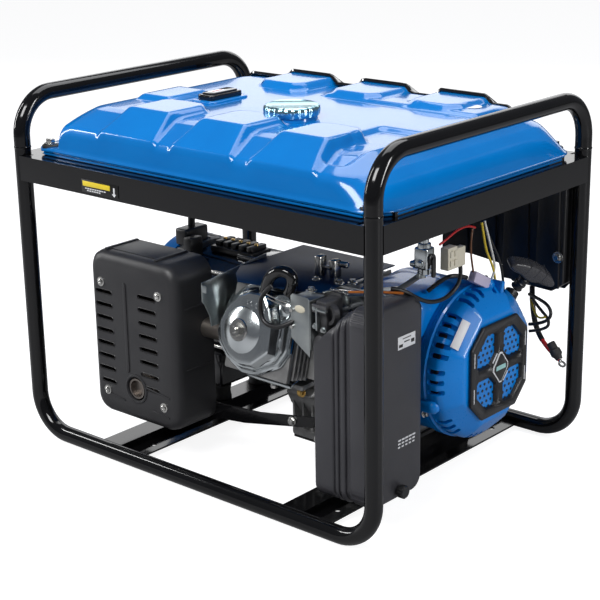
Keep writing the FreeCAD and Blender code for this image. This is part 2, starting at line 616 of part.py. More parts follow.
def cleaner_half(label, outline, room):
    """One half of the case: a prism along Y with a room that is open toward the seam."""
    body = new_body(label)
    side = sketch_on(body, "XZ_Plane", -CLEAN_B)
    draw_outline(side, outline)
    pad(body, side, CLEAN_B - CLEAN_F)
    hollow = sketch_on(body, "XZ_Plane", -CLEAN_B + SKIN, "Room")
    draw_outline(hollow, room)
    pocket(body, hollow, CLEAN_B - CLEAN_F - 2 * SKIN, reverse=True)


cleaner_half("air_cleaner_base", [(CLEAN_L, CLEAN_Z), (CLEAN_M, CLEAN_Z), (CLEAN_M, CLEAN_T), (CLEAN_L, 256)],
             [(CLEAN_L + SKIN, CLEAN_Z + SKIN), (CLEAN_M + 1, CLEAN_Z + SKIN), (CLEAN_M + 1, CLEAN_T - 4),
              (CLEAN_L + SKIN, 254)])
cleaner_half("air_cleaner_cover", [(CLEAN_M, CLEAN_Z), (CLEAN_R, CLEAN_Z + 4), (CLEAN_R, CLEAN_T + 4),
                                   (CLEAN_M, CLEAN_T)],
             [(CLEAN_M - 1, CLEAN_Z + SKIN), (CLEAN_R - SKIN, CLEAN_Z + 4 + SKIN),
              (CLEAN_R - SKIN, CLEAN_T + 1), (CLEAN_M - 1, CLEAN_T - SKIN)])
keep(rod("air_cleaner_knob", (CLEAN_R, -155, 58), 9, 12, "x"), "air_cleaner_knob")
dip = rod("oil_dipstick", (0, 0, 0), 11, 14, "z")
dip.Placement = Placement(Vector(60, SHAFT_Y + 83, 100), Rotation(Vector(1, 0, 0), -90))
keep(dip, "oil_dipstick")

# ---------------------------------------------------------------- muffler and its shield
MUF_L = dim("muffler_left")
MUF_R = dim("muffler_right")
MUF_F = dim("muffler_front")
MUF_B = dim("muffler_back")
MUF_Z = dim("muffler_bottom")
MUF_T = dim("muffler_top")
GUARD = dim("shield_wall")
OUTLET = (-144, 112)
slots = [box(f"slot_{i}", (x, MUF_F - 5, z), (x + 27, MUF_F + 5, z + 5))
         for i, (x, z) in enumerate((x, 172 + 11 * k) for x in (-198, -124) for k in range(8))]
guard_solid = box("guard_solid", (MUF_L, MUF_F, MUF_Z), (MUF_R, MUF_B, MUF_T))
guard_room = box("guard_room", (MUF_L + GUARD, MUF_F + GUARD, MUF_Z + GUARD),
                 (MUF_R - GUARD, MUF_B + 5, MUF_T - GUARD))
guard_hole = rod("guard_hole", (OUTLET[0], MUF_F - 5, OUTLET[1]), 18, 20, "y")
pipe_hole = rod("pipe_hole", (MUF_R - 10, -150, 212), 17, 20, "x")
keep(cut("muffler_shield", guard_solid, fuse("guard_cuts", guard_room, guard_hole, pipe_hole, *slots)),
     "muffler_shield")
muffler = box("muffler_can", (MUF_L + 14, MUF_F + 12, MUF_Z + 16), (MUF_R - 12, MUF_B - 6, MUF_T - 18))
outlet = cut("outlet_pipe", rod("outlet_outer", (OUTLET[0], MUF_F + 1, OUTLET[1]), 16, 13, "y"),
             rod("outlet_bore", (OUTLET[0], MUF_F, OUTLET[1]), 14.5, 10, "y"))
stand = [box(f"can_stud_{i}", (x, MUF_F + GUARD, z), (x + 10, MUF_F + 14, z + 10))
         for i, (x, z) in enumerate(((-214, 90), (-91, 90), (-214, 263), (-91, 263)))]
keep(fuse("muffler_body", muffler, outlet, *stand), "muffler_body")
keep(cut("exhaust_pipe", rod("pipe_outer", (MUF_R - 12, -150, 212), 15, CYL_X + HEAD_LEFT - MUF_R + 12, "x"),
         rod("pipe_bore", (MUF_R - 13, -150, 212), 13, 90, "x")), "exhaust_pipe")
strap = new_body("muffler_strap", finished=False)
strap_sketch = sketch_on(strap, "XZ_Plane", -MUF_B - 4)
draw_outline(strap_sketch, [(-87, MUF_Z), (5, 69), (140, 96), (141, 112), (33, 93), (-87, 84)])
pad(strap, strap_sketch, 4)
keep(fuse("muffler_stay", strap, box("stay_tab", (125, MUF_B + 2, 97), (141, SHAFT_Y - 78, 101))), "muffler_stay")

# ---------------------------------------------------------------- fuel tank
FLANGE_Z = dim("flange_height")
WALL_Z = dim("tank_wall_top")
TOP_Z = dim("tank_top")
TANK_LOW = dim("tank_bottom")
CAP_X = dim("cap_along")
CAP_Y = dim("cap_across")


def frustum(name, low, high, z_low, z_high):
    """Block whose half sizes go from low (x, y) to high (x, y)."""
    block = doc.addObject("Part::Wedge", name)
    block.Xmin, block.Xmax, block.Zmin, block.Zmax = -low[0], low[0], -low[1], low[1]
    block.X2min, block.X2max, block.Z2min, block.Z2max = -high[0], high[0], -high[1], high[1]
    block.Ymin, block.Ymax = 0, z_high - z_low
    block.Placement = Placement(Vector(0, 0, z_low), Rotation(Vector(1, 0, 0), 90))
    return block


neck = rod("neck_outer", (CAP_X, CAP_Y, TOP_Z - 6), 30, 16, "z")
outer_tank = fuse("tank_outer", frustum("tank_lower", (300, 215), (312, 226), TANK_LOW, BAR_TOP),
                  frustum("tank_wall", (312, 226), (318, 233), BAR_TOP, WALL_Z),
                  frustum("tank_roof", (318, 233), (262, 174), WALL_Z, TOP_Z), neck)
inner_tank = fuse("tank_room", frustum("room_lower", (298, 213), (310, 224), TANK_LOW + 2, BAR_TOP),
                  frustum("room_wall", (310, 224), (316, 231), BAR_TOP, WALL_Z),
                  frustum("room_roof", (316, 231), (260, 172), WALL_Z, TOP_Z - 2),
                  rod("neck_bore", (CAP_X, CAP_Y, TOP_Z - 20), 26, 60, "z"))
rim_ring = cut("tank_rim", box("rim_outer", (-dim("tank_length") / 2, -dim("tank_width") / 2 - 3, BAR_TOP + 6),
                               (dim("tank_length") / 2, dim("tank_width") / 2 + 3, FLANGE_Z)),
               fuse("rim_cuts", posts("rim_posts"), box("rim_room", (-311, -225, BAR_TOP), (311, 225, WALL_Z)),
                    *[rod(f"rim_bolt_{i}", (sx * dim("tank_bolt_along"), sy * dim("tank_bolt_across"), BAR_TOP - 5),
                          4, 30, "z") for i, (sx, sy) in enumerate(((-1, -1), (1, -1), (-1, 1), (1, 1)))],
                    *[rod(f"rim_clear_{i}", (sx * POST_X, sy * POST_Y, BAR_TOP), TUBE_R + 6, 30, "z")
                      for i, (sx, sy) in enumerate(((-1, -1), (1, -1), (-1, 1), (1, 1)))]))
keep(cut("fuel_tank", fuse("tank_full", outer_tank, rim_ring), inner_tank), "fuel_tank")
cushions = []
for sx in (-1, 1):
    for sy in (-1, 1):
        spot = (sx * 326, sy * 180, BAR_TOP)
        cushions.append(box(f"cushion_{sx}_{sy}", (spot[0] - 9, spot[1] - 20, BAR_TOP),
                            (spot[0] + 9, spot[1] + 20, BAR_TOP + 6)))
group("tank_cushions", *cushions)
keep(cut("fuel_cap", rod("cap_outer", (CAP_X, CAP_Y, TOP_Z + 1), dim("cap_radius"), 21, "z", "cap_radius"),
         fuse("cap_room", rod("cap_bore", (CAP_X, CAP_Y, TOP_Z), 31, 11, "z"),
              rod("cap_relief", (CAP_X, CAP_Y, TOP_Z), 36, 6, "z"))), "fuel_cap")
keep(box("fuel_gauge", (-155, -47, TOP_Z), (-125, 17, TOP_Z + 14)), "fuel_gauge")
keep(fuse("fuel_valve", box("valve_body", (274, -80, 346), (296, -60, 378)),
          rod("valve_stem", (285, -70, 378), 6, TANK_LOW - 378, "z")), "fuel_valve")
keep(fuse("fuel_valve_lever", rod("lever_hub", (296, -70, 362), 8, 6, "x"),
          box("lever_arm", (299, -73, 340), (302, -67, 362))), "fuel_valve_lever")

# ---------------------------------------------------------------- control box on the far side
BOX_L = dim("box_left")
BOX_R = dim("box_right")
BOX_Z = dim("box_bottom")
BOX_Y = dim("box_back")
FACE_Y = dim("panel_face")
FACE_T = dim("panel_thickness")


def stepped(inset, z_high):
    """Outline of the control box, whose left part is shorter than its right part."""
    return [(BOX_L + inset, 275 + inset), (205 + inset, 275 + inset), (233 + inset, BOX_Z + inset),
            (BOX_R - 13 - inset, BOX_Z + inset), (BOX_R - inset, 258 + inset), (BOX_R - inset, z_high),
            (BOX_L + inset, z_high)]


control = new_body("control_box")
control_sketch = sketch_on(control, "XZ_Plane", -FACE_Y + FACE_T)
draw_outline(control_sketch, stepped(0, BAR_LOW))
pad(control, control_sketch, FACE_Y - FACE_T - BOX_Y)
control_room = sketch_on(control, "XZ_Plane", -FACE_Y + FACE_T, "Room")
draw_outline(control_room, stepped(2, BAR_LOW - 2))
pocket(control, control_room, FACE_Y - FACE_T - BOX_Y - 2, reverse=True)
panel = new_body("control_panel")
panel_sketch = sketch_on(panel, "XZ_Plane", -FACE_Y)
draw_outline(panel_sketch, stepped(0, BAR_LOW))
pad(panel, panel_sketch, FACE_T)
cutouts = sketch_on(panel, "XZ_Plane", -FACE_Y, "Cutouts")
for low_x, low_z, high_x, high_z in ((284, 347, 308, 387), (248, 352, 268, 382)):
    draw_outline(cutouts, [(low_x, low_z), (high_x, low_z), (high_x, high_z), (low_x, high_z)])
pocket(panel, cutouts, FACE_T + 5, reverse=True)
keep(box("engine_switch", (285, FACE_Y - 4, 352), (307, FACE_Y + 1, 382)), "engine_switch")
keep(fuse("breaker", box("breaker_base", (249, FACE_Y - 4, 353), (267, FACE_Y, 381)),
          box("breaker_frame", (254, FACE_Y - 1, 362), (262, FACE_Y + 1, 372))), "breaker")
keep(fuse("socket_lid", box("lid_plate", (120, FACE_Y + 1, 300), (170, FACE_Y + 3, 350)),
          rod("lid_hinge", (122, FACE_Y + 2, 350), 1.6, 46, "x")), "socket_lid")

# ---------------------------------------------------------------- flexible leads
cord("fuel_hose", [(285, -70, 342), (255, -88, 312), (222, -125, 299), (199, -146, 290)], 4)
cord("battery_lead", [(262, 240, 241), (268, 232, 212), (290, 212, 182), (318, 202, 160), (340, 200, 149)], 3.5)

# ---------------------------------------------------------------- checks and export
doc.recompute()
for item in doc.Objects:
    if any(word in item.State for word in ("Invalid", "Error")):
        raise RuntimeError(f"{item.Name} ({item.Label}) is {item.State}")
labels = [item.Label for item in nodes]
if len(set(labels)) != len(labels) or len(labels) > 60:
    raise RuntimeError(f"{len(labels)} nodes, {len(set(labels))} names")
for item in nodes:
    if item.Shape.isNull() or not item.Shape.isValid():
        raise RuntimeError(f"{item.Label} has no valid shape")
    item.Shape.exportStep(f"parts/{item.Label}.step")
print(len(nodes), "nodes")
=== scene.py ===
import bpy
import bmesh
import math
from mathutils import Matrix, Vector


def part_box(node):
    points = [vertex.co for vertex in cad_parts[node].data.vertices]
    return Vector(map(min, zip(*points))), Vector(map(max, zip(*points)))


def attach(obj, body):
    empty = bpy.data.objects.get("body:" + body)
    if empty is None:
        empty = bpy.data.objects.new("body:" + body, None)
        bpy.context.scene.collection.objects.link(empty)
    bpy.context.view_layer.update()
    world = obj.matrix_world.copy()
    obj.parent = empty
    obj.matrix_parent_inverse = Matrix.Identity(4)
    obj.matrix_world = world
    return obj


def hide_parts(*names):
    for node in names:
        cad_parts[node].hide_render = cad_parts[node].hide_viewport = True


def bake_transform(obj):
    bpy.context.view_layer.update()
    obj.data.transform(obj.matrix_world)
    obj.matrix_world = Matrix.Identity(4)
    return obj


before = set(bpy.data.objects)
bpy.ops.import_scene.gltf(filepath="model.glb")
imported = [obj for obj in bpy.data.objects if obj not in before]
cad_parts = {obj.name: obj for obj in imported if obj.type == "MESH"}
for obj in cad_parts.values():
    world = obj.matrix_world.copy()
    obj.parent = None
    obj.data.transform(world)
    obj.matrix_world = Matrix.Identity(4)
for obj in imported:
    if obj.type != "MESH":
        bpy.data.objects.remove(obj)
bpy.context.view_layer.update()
MACHINE = "machine"
MM = 0.001


def node_box(node):
    """Lowest and highest corner of a CAD node, in millimetres."""
    low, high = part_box(node)
    return Vector(low) / MM, Vector(high) / MM


# ------------------------------------------------------------ finishes
def make_surface_group():
    """Patchy colour and gloss with a fine grain, all on object coordinates."""
    group = bpy.data.node_groups.new("patchy_surface", "ShaderNodeTree")
    for label, kind, default in (("Colour", "NodeSocketColor", (0.5, 0.5, 0.5, 1)),
                                 ("Patch Colour", "NodeSocketColor", (0.4, 0.4, 0.4, 1)),
                                 ("Patch Scale", "NodeSocketFloat", 20.0),
                                 ("Grain Scale", "NodeSocketFloat", 800.0),
                                 ("Stretch", "NodeSocketVector", (1, 1, 1)),
                                 ("Roughness Low", "NodeSocketFloat", 0.3),
                                 ("Roughness High", "NodeSocketFloat", 0.4)):
        socket = group.interface.new_socket(name=label, in_out="INPUT", socket_type=kind)
        socket.default_value = default
    for label, kind in (("Colour", "NodeSocketColor"), ("Roughness", "NodeSocketFloat"),
                        ("Height", "NodeSocketFloat")):
        group.interface.new_socket(name=label, in_out="OUTPUT", socket_type=kind)
    nodes, links = group.nodes, group.links
    take = nodes.new("NodeGroupInput")
    give = nodes.new("NodeGroupOutput")
    place = nodes.new("ShaderNodeTexCoord")
    stretch = nodes.new("ShaderNodeVectorMath")
    stretch.operation = "MULTIPLY"
    links.new(place.outputs["Object"], stretch.inputs[0])
    links.new(take.outputs["Stretch"], stretch.inputs[1])
    patch = nodes.new("ShaderNodeTexNoise")
    patch.inputs["Detail"].default_value = 5
    links.new(place.outputs["Object"], patch.inputs["Vector"])
    links.new(take.outputs["Patch Scale"], patch.inputs["Scale"])
    grain = nodes.new("ShaderNodeTexNoise")
    grain.inputs["Detail"].default_value = 3
    links.new(stretch.outputs[0], grain.inputs["Vector"])
    links.new(take.outputs["Grain Scale"], grain.inputs["Scale"])
    spread = nodes.new("ShaderNodeMapRange")
    spread.inputs["From Min"].default_value = 0.35
    spread.inputs["From Max"].default_value = 0.68
    links.new(patch.outputs["Fac"], spread.inputs["Value"])
    tint = nodes.new("ShaderNodeMix")
    tint.data_type = "RGBA"
    links.new(spread.outputs["Result"], tint.inputs["Factor"])
    links.new(take.outputs["Colour"], tint.inputs[6])
    links.new(take.outputs["Patch Colour"], tint.inputs[7])
    gloss = nodes.new("ShaderNodeMix")
    links.new(grain.outputs["Fac"], gloss.inputs["Factor"])
    links.new(take.outputs["Roughness Low"], gloss.inputs[2])
    links.new(take.outputs["Roughness High"], gloss.inputs[3])
    links.new(tint.outputs[2], give.inputs["Colour"])
    links.new(gloss.outputs[0], give.inputs["Roughness"])
    links.new(grain.outputs["Fac"], give.inputs["Height"])
    return group


SURFACE = make_surface_group()


def finish(name, colour, patch, rough, metal=0.0, coat=0.0, patch_scale=14.0, grain=900.0, bump=0.0,
           stretch=(1, 1, 1), coat_rough=0.04, shine=0.5):
    """Finish with the shared patchy surface feeding one shader."""
    material = bpy.data.materials.new(name)
    material.use_nodes = True
    nodes, links = material.node_tree.nodes, material.node_tree.links
    shader = nodes["Principled BSDF"]
    skin = nodes.new("ShaderNodeGroup")
    skin.node_tree = SURFACE
    skin.inputs["Colour"].default_value = (*colour, 1)
    skin.inputs["Patch Colour"].default_value = (*patch, 1)
    skin.inputs["Patch Scale"].default_value = patch_scale
    skin.inputs["Grain Scale"].default_value = grain
    skin.inputs["Stretch"].default_value = stretch
    skin.inputs["Roughness Low"].default_value = rough[0]
    skin.inputs["Roughness High"].default_value = rough[1]
    links.new(skin.outputs["Colour"], shader.inputs["Base Color"])
    links.new(skin.outputs["Roughness"], shader.inputs["Roughness"])
    shader.inputs["Metallic"].default_value = metal
    shader.inputs["Specular IOR Level"].default_value = shine
    shader.inputs["Coat Weight"].default_value = coat
    shader.inputs["Coat Roughness"].default_value = coat_rough
    if bump:
        relief = nodes.new("ShaderNodeBump")
        relief.inputs["Strength"].default_value = bump
        relief.inputs["Distance"].default_value = 0.0006
        links.new(skin.outputs["Height"], relief.inputs["Height"])
        links.new(relief.outputs["Normal"], shader.inputs["Normal"])
    return material


BLACK_PAINT = finish("black_gloss_paint", (0.003, 0.003, 0.0035), (0.004, 0.004, 0.0045), (0.08, 0.14),
                     coat=0.1,
                     grain=260, bump=0.03, shine=0.4)
TANK_BLUE = finish("tank_blue_paint", (0.0, 0.16, 0.50), (0.0, 0.145, 0.465), (0.14, 0.22), coat=0.5,
                   shine=0.35, grain=220,
                   bump=0.025, coat_rough=0.03)
CASE_BLUE = finish("starter_blue_paint", (0.0, 0.225, 0.72), (0.0, 0.20, 0.66), (0.24, 0.34), coat=0.4,
                   grain=300,
                   bump=0.012, shine=0.25)
# The shroud is blue sheet steel; this dark navy is the tank's shadow and a dark reflection painted into its
# colour, not a navy paint.
SHROUD_SHADE_BLUE = finish("shroud_blue_painted_shade", (0.001, 0.022, 0.075), (0.001, 0.012, 0.042), (0.35, 0.45), shine=0.15)
GUARD_GREY = finish("guard_satin_black", (0.020, 0.020, 0.022), (0.028, 0.028, 0.030), (0.34, 0.46),
                    grain=1400,
                    bump=0.35)
CLEANER_GREY = finish("cleaner_charcoal_plastic", (0.034, 0.034, 0.039), (0.043, 0.043, 0.049), (0.3, 0.42),
                      grain=1800, bump=0.3)
BLACK_PLASTIC = finish("black_satin_plastic", (0.008, 0.008, 0.009), (0.013, 0.013, 0.014), (0.28, 0.4),
                       grain=1600,
                       bump=0.2)
GLOSS_PLASTIC = finish("black_gloss_plastic", (0.004, 0.004, 0.005), (0.007, 0.007, 0.007), (0.07, 0.12),
                       coat=0.5)
RUBBER = finish("black_rubber", (0.012, 0.012, 0.012), (0.02, 0.02, 0.02), (0.5, 0.7), grain=900, bump=0.4)
PRESSED_STEEL = finish("pressed_silver_steel", (0.66, 0.70, 0.71), (0.54, 0.58, 0.59), (0.16, 0.24),
                       metal=1.0,
                       grain=120)
ZINC = finish("zinc_sheet", (0.46, 0.49, 0.48), (0.34, 0.37, 0.38), (0.25, 0.42), metal=1.0, patch_scale=30)
CAST = finish("cast_alloy", (0.30, 0.30, 0.295), (0.20, 0.20, 0.20), (0.36, 0.5), metal=0.45, patch_scale=40,
              grain=1100, bump=0.5)
DARK_CAST = finish("dark_cast_alloy", (0.10, 0.10, 0.105), (0.06, 0.06, 0.065), (0.35, 0.5), metal=0.4,
                   patch_scale=40, grain=1100, bump=0.8)
BOLT_STEEL = finish("bolt_zinc", (0.66, 0.65, 0.62), (0.5, 0.5, 0.48), (0.18, 0.3), metal=1.0)
BRASS = finish("brass_plug", (0.62, 0.42, 0.14), (0.5, 0.32, 0.1), (0.22, 0.35), metal=1.0)
# Chrome metal whose cyan tint is the blue surroundings' reflection painted into its base colour.
CHROME_BLUE_REFLECTION = finish("cap_chrome_painted_blue_reflection", (0.42, 0.68, 0.76), (0.36, 0.62, 0.72), (0.16, 0.24), metal=1.0)
MUFFLER_STEEL = finish("heat_stained_steel", (0.30, 0.27, 0.24), (0.18, 0.16, 0.15), (0.35, 0.5), metal=1.0)
GLOSS_SHELL = finish("alternator_black_enamel", (0.012, 0.013, 0.016), (0.02, 0.02, 0.024), (0.12, 0.22),
                     coat=0.8)
WHITE_LABEL = finish("white_label", (0.75, 0.76, 0.78), (0.70, 0.71, 0.73), (0.35, 0.45))
YELLOW_LABEL = finish("yellow_label", (0.80, 0.62, 0.03), (0.74, 0.56, 0.03), (0.35, 0.45))
LABEL_BLACK = finish("label_black", (0.005, 0.005, 0.005), (0.008, 0.008, 0.008), (0.3, 0.4))
CREAM = finish("cream_connector", (0.66, 0.62, 0.50), (0.60, 0.56, 0.44), (0.35, 0.5))
LILAC = finish("lilac_connector", (0.55, 0.50, 0.65), (0.48, 0.44, 0.6), (0.35, 0.5))
GREY_HOSE = finish("grey_fuel_hose", (0.15, 0.16, 0.17), (0.11, 0.12, 0.13), (0.35, 0.5))


def lead_finish(name, colour):
    """Soft insulation for a thin lead."""
    return finish(name, colour, tuple(0.8 * part for part in colour), (0.35, 0.5), grain=1200, bump=0.1)


RED_LEAD = lead_finish("red_lead", (0.55, 0.01, 0.01))
YELLOW_LEAD = lead_finish("yellow_lead", (0.75, 0.55, 0.03))
WHITE_LEAD = lead_finish("white_lead", (0.75, 0.75, 0.72))
BROWN_LEAD = lead_finish("brown_lead", (0.16, 0.06, 0.02))
ORANGE_LEAD = lead_finish("orange_lead", (0.72, 0.2, 0.02))
BLACK_LEAD = lead_finish("black_lead", (0.01, 0.01, 0.01))


# ------------------------------------------------------------ shaping
def place_piece(name, bm, material, body=MACHINE, replaces=(), sharp=32, round_edge=0.0, smooth=0):
    """Turns a bmesh in millimetres into a finished piece that rides on a body."""
    bmesh.ops.remove_doubles(bm, verts=bm.verts[:], dist=0.001)
    bmesh.ops.recalc_face_normals(bm, faces=bm.faces[:])
    bmesh.ops.scale(bm, vec=(MM, MM, MM), verts=bm.verts[:])
    mesh = bpy.data.meshes.new(name)
    bm.to_mesh(mesh)
    bm.free()
    mesh.polygons.foreach_set("use_smooth", [True] * len(mesh.polygons))
    mesh.set_sharp_from_angle(angle=math.radians(sharp))
    mesh.materials.append(material)
    piece = bpy.data.objects.new(name, mesh)
    bpy.context.scene.collection.objects.link(piece)
    if round_edge:
        bevel = piece.modifiers.new("edge", "BEVEL")
        bevel.width = round_edge * MM
        bevel.segments = 2
        bevel.limit_method = "ANGLE"
        bevel.angle_limit = math.radians(35)
        bevel.harden_normals = False
    if smooth:
        rounded = piece.modifiers.new("smooth", "SUBSURF")
        rounded.levels = smooth
        rounded.render_levels = smooth
    if body:
        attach(piece, body)
    if replaces:
        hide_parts(*replaces)
    return piece


def upright(axis):
    """Turn that takes +Z to an axis."""
    return Vector((0, 0, 1)).rotation_difference(Vector(axis)).to_matrix().to_4x4()


def edges_of(verts):
    """Every edge that meets one of the verts."""
    return list({edge for vert in verts for edge in vert.link_edges})


def round_edges(bm, verts, edges, width, segments):
    """Rounds edges of a shape and returns the verts it then has."""
    made = bmesh.ops.bevel(bm, geom=edges, offset=width, offset_type="OFFSET", segments=segments,
                           profile=0.5, affect="EDGES", material=-1)
    return list({v for face in made["faces"] for v in face.verts} | {v for v in verts if v.is_valid})


def add_block(bm, low, high, bevel=0.0, segments=2, turn=None):
    """Box between two corners with rounded edges; turn is applied about its centre."""
    low, high = Vector(low), Vector(high)
    verts = bmesh.ops.create_cube(bm, size=1)["verts"]
    bmesh.ops.scale(bm, vec=high - low, verts=verts)
    if bevel:
        verts = round_edges(bm, verts, edges_of(verts), bevel, segments)
    if turn:
        bmesh.ops.transform(bm, matrix=turn, verts=verts)
    bmesh.ops.translate(bm, vec=(low + high) / 2, verts=verts)
    return verts


def add_drum(bm, centre, axis, radius, depth, sides=32, top=None, bevel=0.0):
    """Closed drum or cone from its base centre along an axis."""
    made = bmesh.ops.create_cone(bm, cap_ends=True, segments=sides, radius1=radius,
                                 radius2=radius if top is None else top, depth=depth)["verts"]
    bmesh.ops.translate(bm, vec=(0, 0, depth / 2), verts=made)
    if bevel:
        rims = [e for e in edges_of(made) if len(e.link_faces) == 2
                and e.calc_face_angle(0) > 1.0 and abs(e.verts[0].co.z - e.verts[1].co.z) < 1e-4]
        made = round_edges(bm, made, rims, bevel, 2)
    matrix = Matrix.Translation(Vector(centre)) @ upright(axis)
    bmesh.ops.transform(bm, matrix=matrix, verts=made)
    return made


def add_turned(bm, outline, centre, axis, sides=64, matrix=None):
    """Closed outline of (distance along the axis, radius) spun round the axis."""
    verts = [bm.verts.new((radius, 0, along)) for along, radius in outline]
    edges = [bm.edges.new((a, b)) for a, b in zip(verts, verts[1:])]
    bmesh.ops.spin(bm, geom=verts + edges, cent=(0, 0, 0), axis=(0, 0, 1), angle=math.tau, steps=sides,
                   use_merge=True, use_duplicate=False)
    made = {v for v in verts if v.is_valid}
    grow = set(made)
    while grow:
        grow = {other for v in grow for e in v.link_edges for other in e.verts} - made
        made |= grow
    place = matrix if matrix else Matrix.Translation(Vector(centre)) @ upright(axis)
    bmesh.ops.transform(bm, matrix=place, verts=list(made))
    return list(made)


WASHER_THICKNESS = 1.4
AXIS_PLACE = {"x": lambda u, v, w: (w, u, v), "y": lambda u, v, w: (u, w, v), "z": lambda u, v, w: (u, v, w)}


def add_prism(bm, outline, axis, start, end, bevel=0.0, segments=2, matrix=None):
    """Outline pushed along an axis, with its edges rounded."""
    put = AXIS_PLACE[axis]
    base = bm.faces.new([bm.verts.new(put(u, v, start)) for u, v in outline])
    pushed = bmesh.ops.extrude_face_region(bm, geom=[base], use_keep_orig=True)["geom"]
    top = [item for item in pushed if isinstance(item, bmesh.types.BMVert)]
    bmesh.ops.translate(bm, vec=put(0, 0, end - start), verts=top)
    verts = list(base.verts) + top
    if bevel:
        verts = round_edges(bm, verts, edges_of(verts), bevel, segments)
    if matrix:
        bmesh.ops.transform(bm, matrix=matrix, verts=verts)
    return verts


def rounded_outline(half_u, half_v, radius, steps=6, centre=(0, 0)):
    """Rectangle with round corners, as a list of points."""
    points = []
    for quarter, (su, sv) in enumerate(((1, 1), (-1, 1), (-1, -1), (1, -1))):
        for step in range(steps + 1):
            angle = math.radians(90 * quarter + 90 * step / steps)
            points.append((centre[0] + su * (half_u - radius) + radius * math.cos(angle),
                           centre[1] + sv * (half_v - radius) + radius * math.sin(angle)))
    return points


def add_ring(bm, points):
    """Closed loop of edges through the points."""
    verts = [bm.verts.new(point) for point in points]
    return [bm.edges.new(pair) for pair in zip(verts, verts[1:] + verts[:1])]


def add_skin(bm, rings, closed=False):
    """Skin bridged from each ring of points to the next; closed puts a face on the last."""
    loops = [add_ring(bm, points) for points in rings]
    for low, high in zip(loops, loops[1:]):
        bmesh.ops.bridge_loops(bm, edges=low + high)
    if closed:
        bmesh.ops.contextual_create(bm, geom=loops[-1])


def add_hex_bolt(bm, centre, axis, across, height, washer=0.0):
    """Hexagon head with a chamfered top, a dished centre and a washer under it."""
    if washer:
        add_drum(bm, centre, axis, washer, WASHER_THICKNESS, 28, bevel=0.3)
    lift = Vector(axis).normalized() * (WASHER_THICKNESS if washer else 0)
    add_drum(bm, Vector(centre) + lift, axis, across / math.sqrt(3), height, 6, bevel=0.5)
    add_drum(bm, Vector(centre) + lift + Vector(axis).normalized() * height, axis, across * 0.36, 0.5, 24,
             top=across * 0.32)


def flexible(name, points, radius, material, body=MACHINE, order=3):
    """Round lead or hose along a smooth line, fixed to a body at both ends."""
    curve = bpy.data.curves.new(name, "CURVE")
    curve.dimensions = "3D"
    spline = curve.splines.new("NURBS")
    spline.points.add(len(points) - 1)
    for point, spot in zip(spline.points, points):
        point.co = (spot[0] * MM, spot[1] * MM, spot[2] * MM, 1)
    spline.order_u = order
    spline.use_endpoint_u = True
    curve.resolution_u = 10
    curve.bevel_depth = radius * MM
    curve.bevel_resolution = 4
    curve.use_fill_caps = True
    curve.materials.append(material)
    piece = bpy.data.objects.new(name, curve)
    bpy.context.scene.collection.objects.link(piece)
    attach(piece, body)
    return piece


# ------------------------------------------------------------ fuel tank
TANK_RINGS = ((1.0, 337, 236, 463.5, 44), (0.985, 334, 233.5, 466, 44), (0.90, 305, 231, 494, 50),
              (0.86, 297, 226, 502, 50), (0.66, 264, 180, 523, 34), (0.58, 250, 164, 525.5, 26),
              (0.0, 0, 0, 526.5, 0))
PAD_CENTRES = (-127, 21, 169)
PAD_TOP = 537
PAD_EDGE = 181
PAD_FALL = 0.68


def ease(value, low, high):
    """0 below low, 1 above high, smooth between."""
    share = min(1.0, max(0.0, (value - low) / (high - low)))
    return share * share * (3 - 2 * share)


def tank_ring(share):
    """Half length, half width, height and corner radius of the tank at a share of the way out."""
    for outer, inner in zip(TANK_RINGS, TANK_RINGS[1:]):
        if share >= inner[0]:
            mix = (share - inner[0]) / (outer[0] - inner[0])
            return [b + (a - b) * mix for a, b in zip(outer[1:], inner[1:])]
    return TANK_RINGS[-1][1:]


def tank_spot(a, b):
    """Point of the tank's skin for a point of the unit square."""
    share = max(abs(a), abs(b))
    half_x, half_y, height, corner = tank_ring(share)
    if share < 1e-6:
        return 0.0, 0.0, height
    x, y = abs(a) / share * half_x, abs(b) / share * half_y
    corner = min(corner, half_x * 0.9, half_y * 0.9)
    over_x, over_y = x - (half_x - corner), y - (half_y - corner)
    if corner > 0 and over_x > 0 and over_y > 0:
        reach = math.hypot(over_x, over_y)
        size = max(over_x, over_y)
        x = half_x - corner + over_x / reach * size
        y = half_y - corner + over_y / reach * size
    if a < 0 and height > 466.2:
        x = min(x, 272 - 0.06 * (height - 466))
    return math.copysign(x, a), math.copysign(y, b), height


def tank_relief(x, y, z):
    """Height of the pressed skin with its pads, ledge and notch."""
    out = abs(y)
    if z > 512 or out > 170:
        z += 5 * ease(y, 86, 93) * ease(x, -30, -22) * ease(262 - x, 0, 12) * ease(512, 500, 511) * (z > 512)
        z += 8 * ease(x, -252, -242) * ease(-x, 176, 186) * ease(y, -94, -84) * ease(-y, -4, 6)
        z -= 6 * ease(x, 182, 190) * ease(-y, 30, 44) * (z > 512) * ease(262 - x, 0, 10)
    flare = 14 * min(1.0, max(0.0, (out - 178) / 56))
    crown = PAD_TOP - max(0.0, out - PAD_EDGE) * PAD_FALL
    for centre in PAD_CENTRES:
        off = abs(x - centre)
        chamfer = max(0.0, 112 - out)
        cover = ease(-off, -(49 + flare - chamfer), -(42 + flare - chamfer)) * ease(out, 92, 100)
        if cover > 0 and out < 231 and crown > z:
            z += (crown - z) * cover
    return z


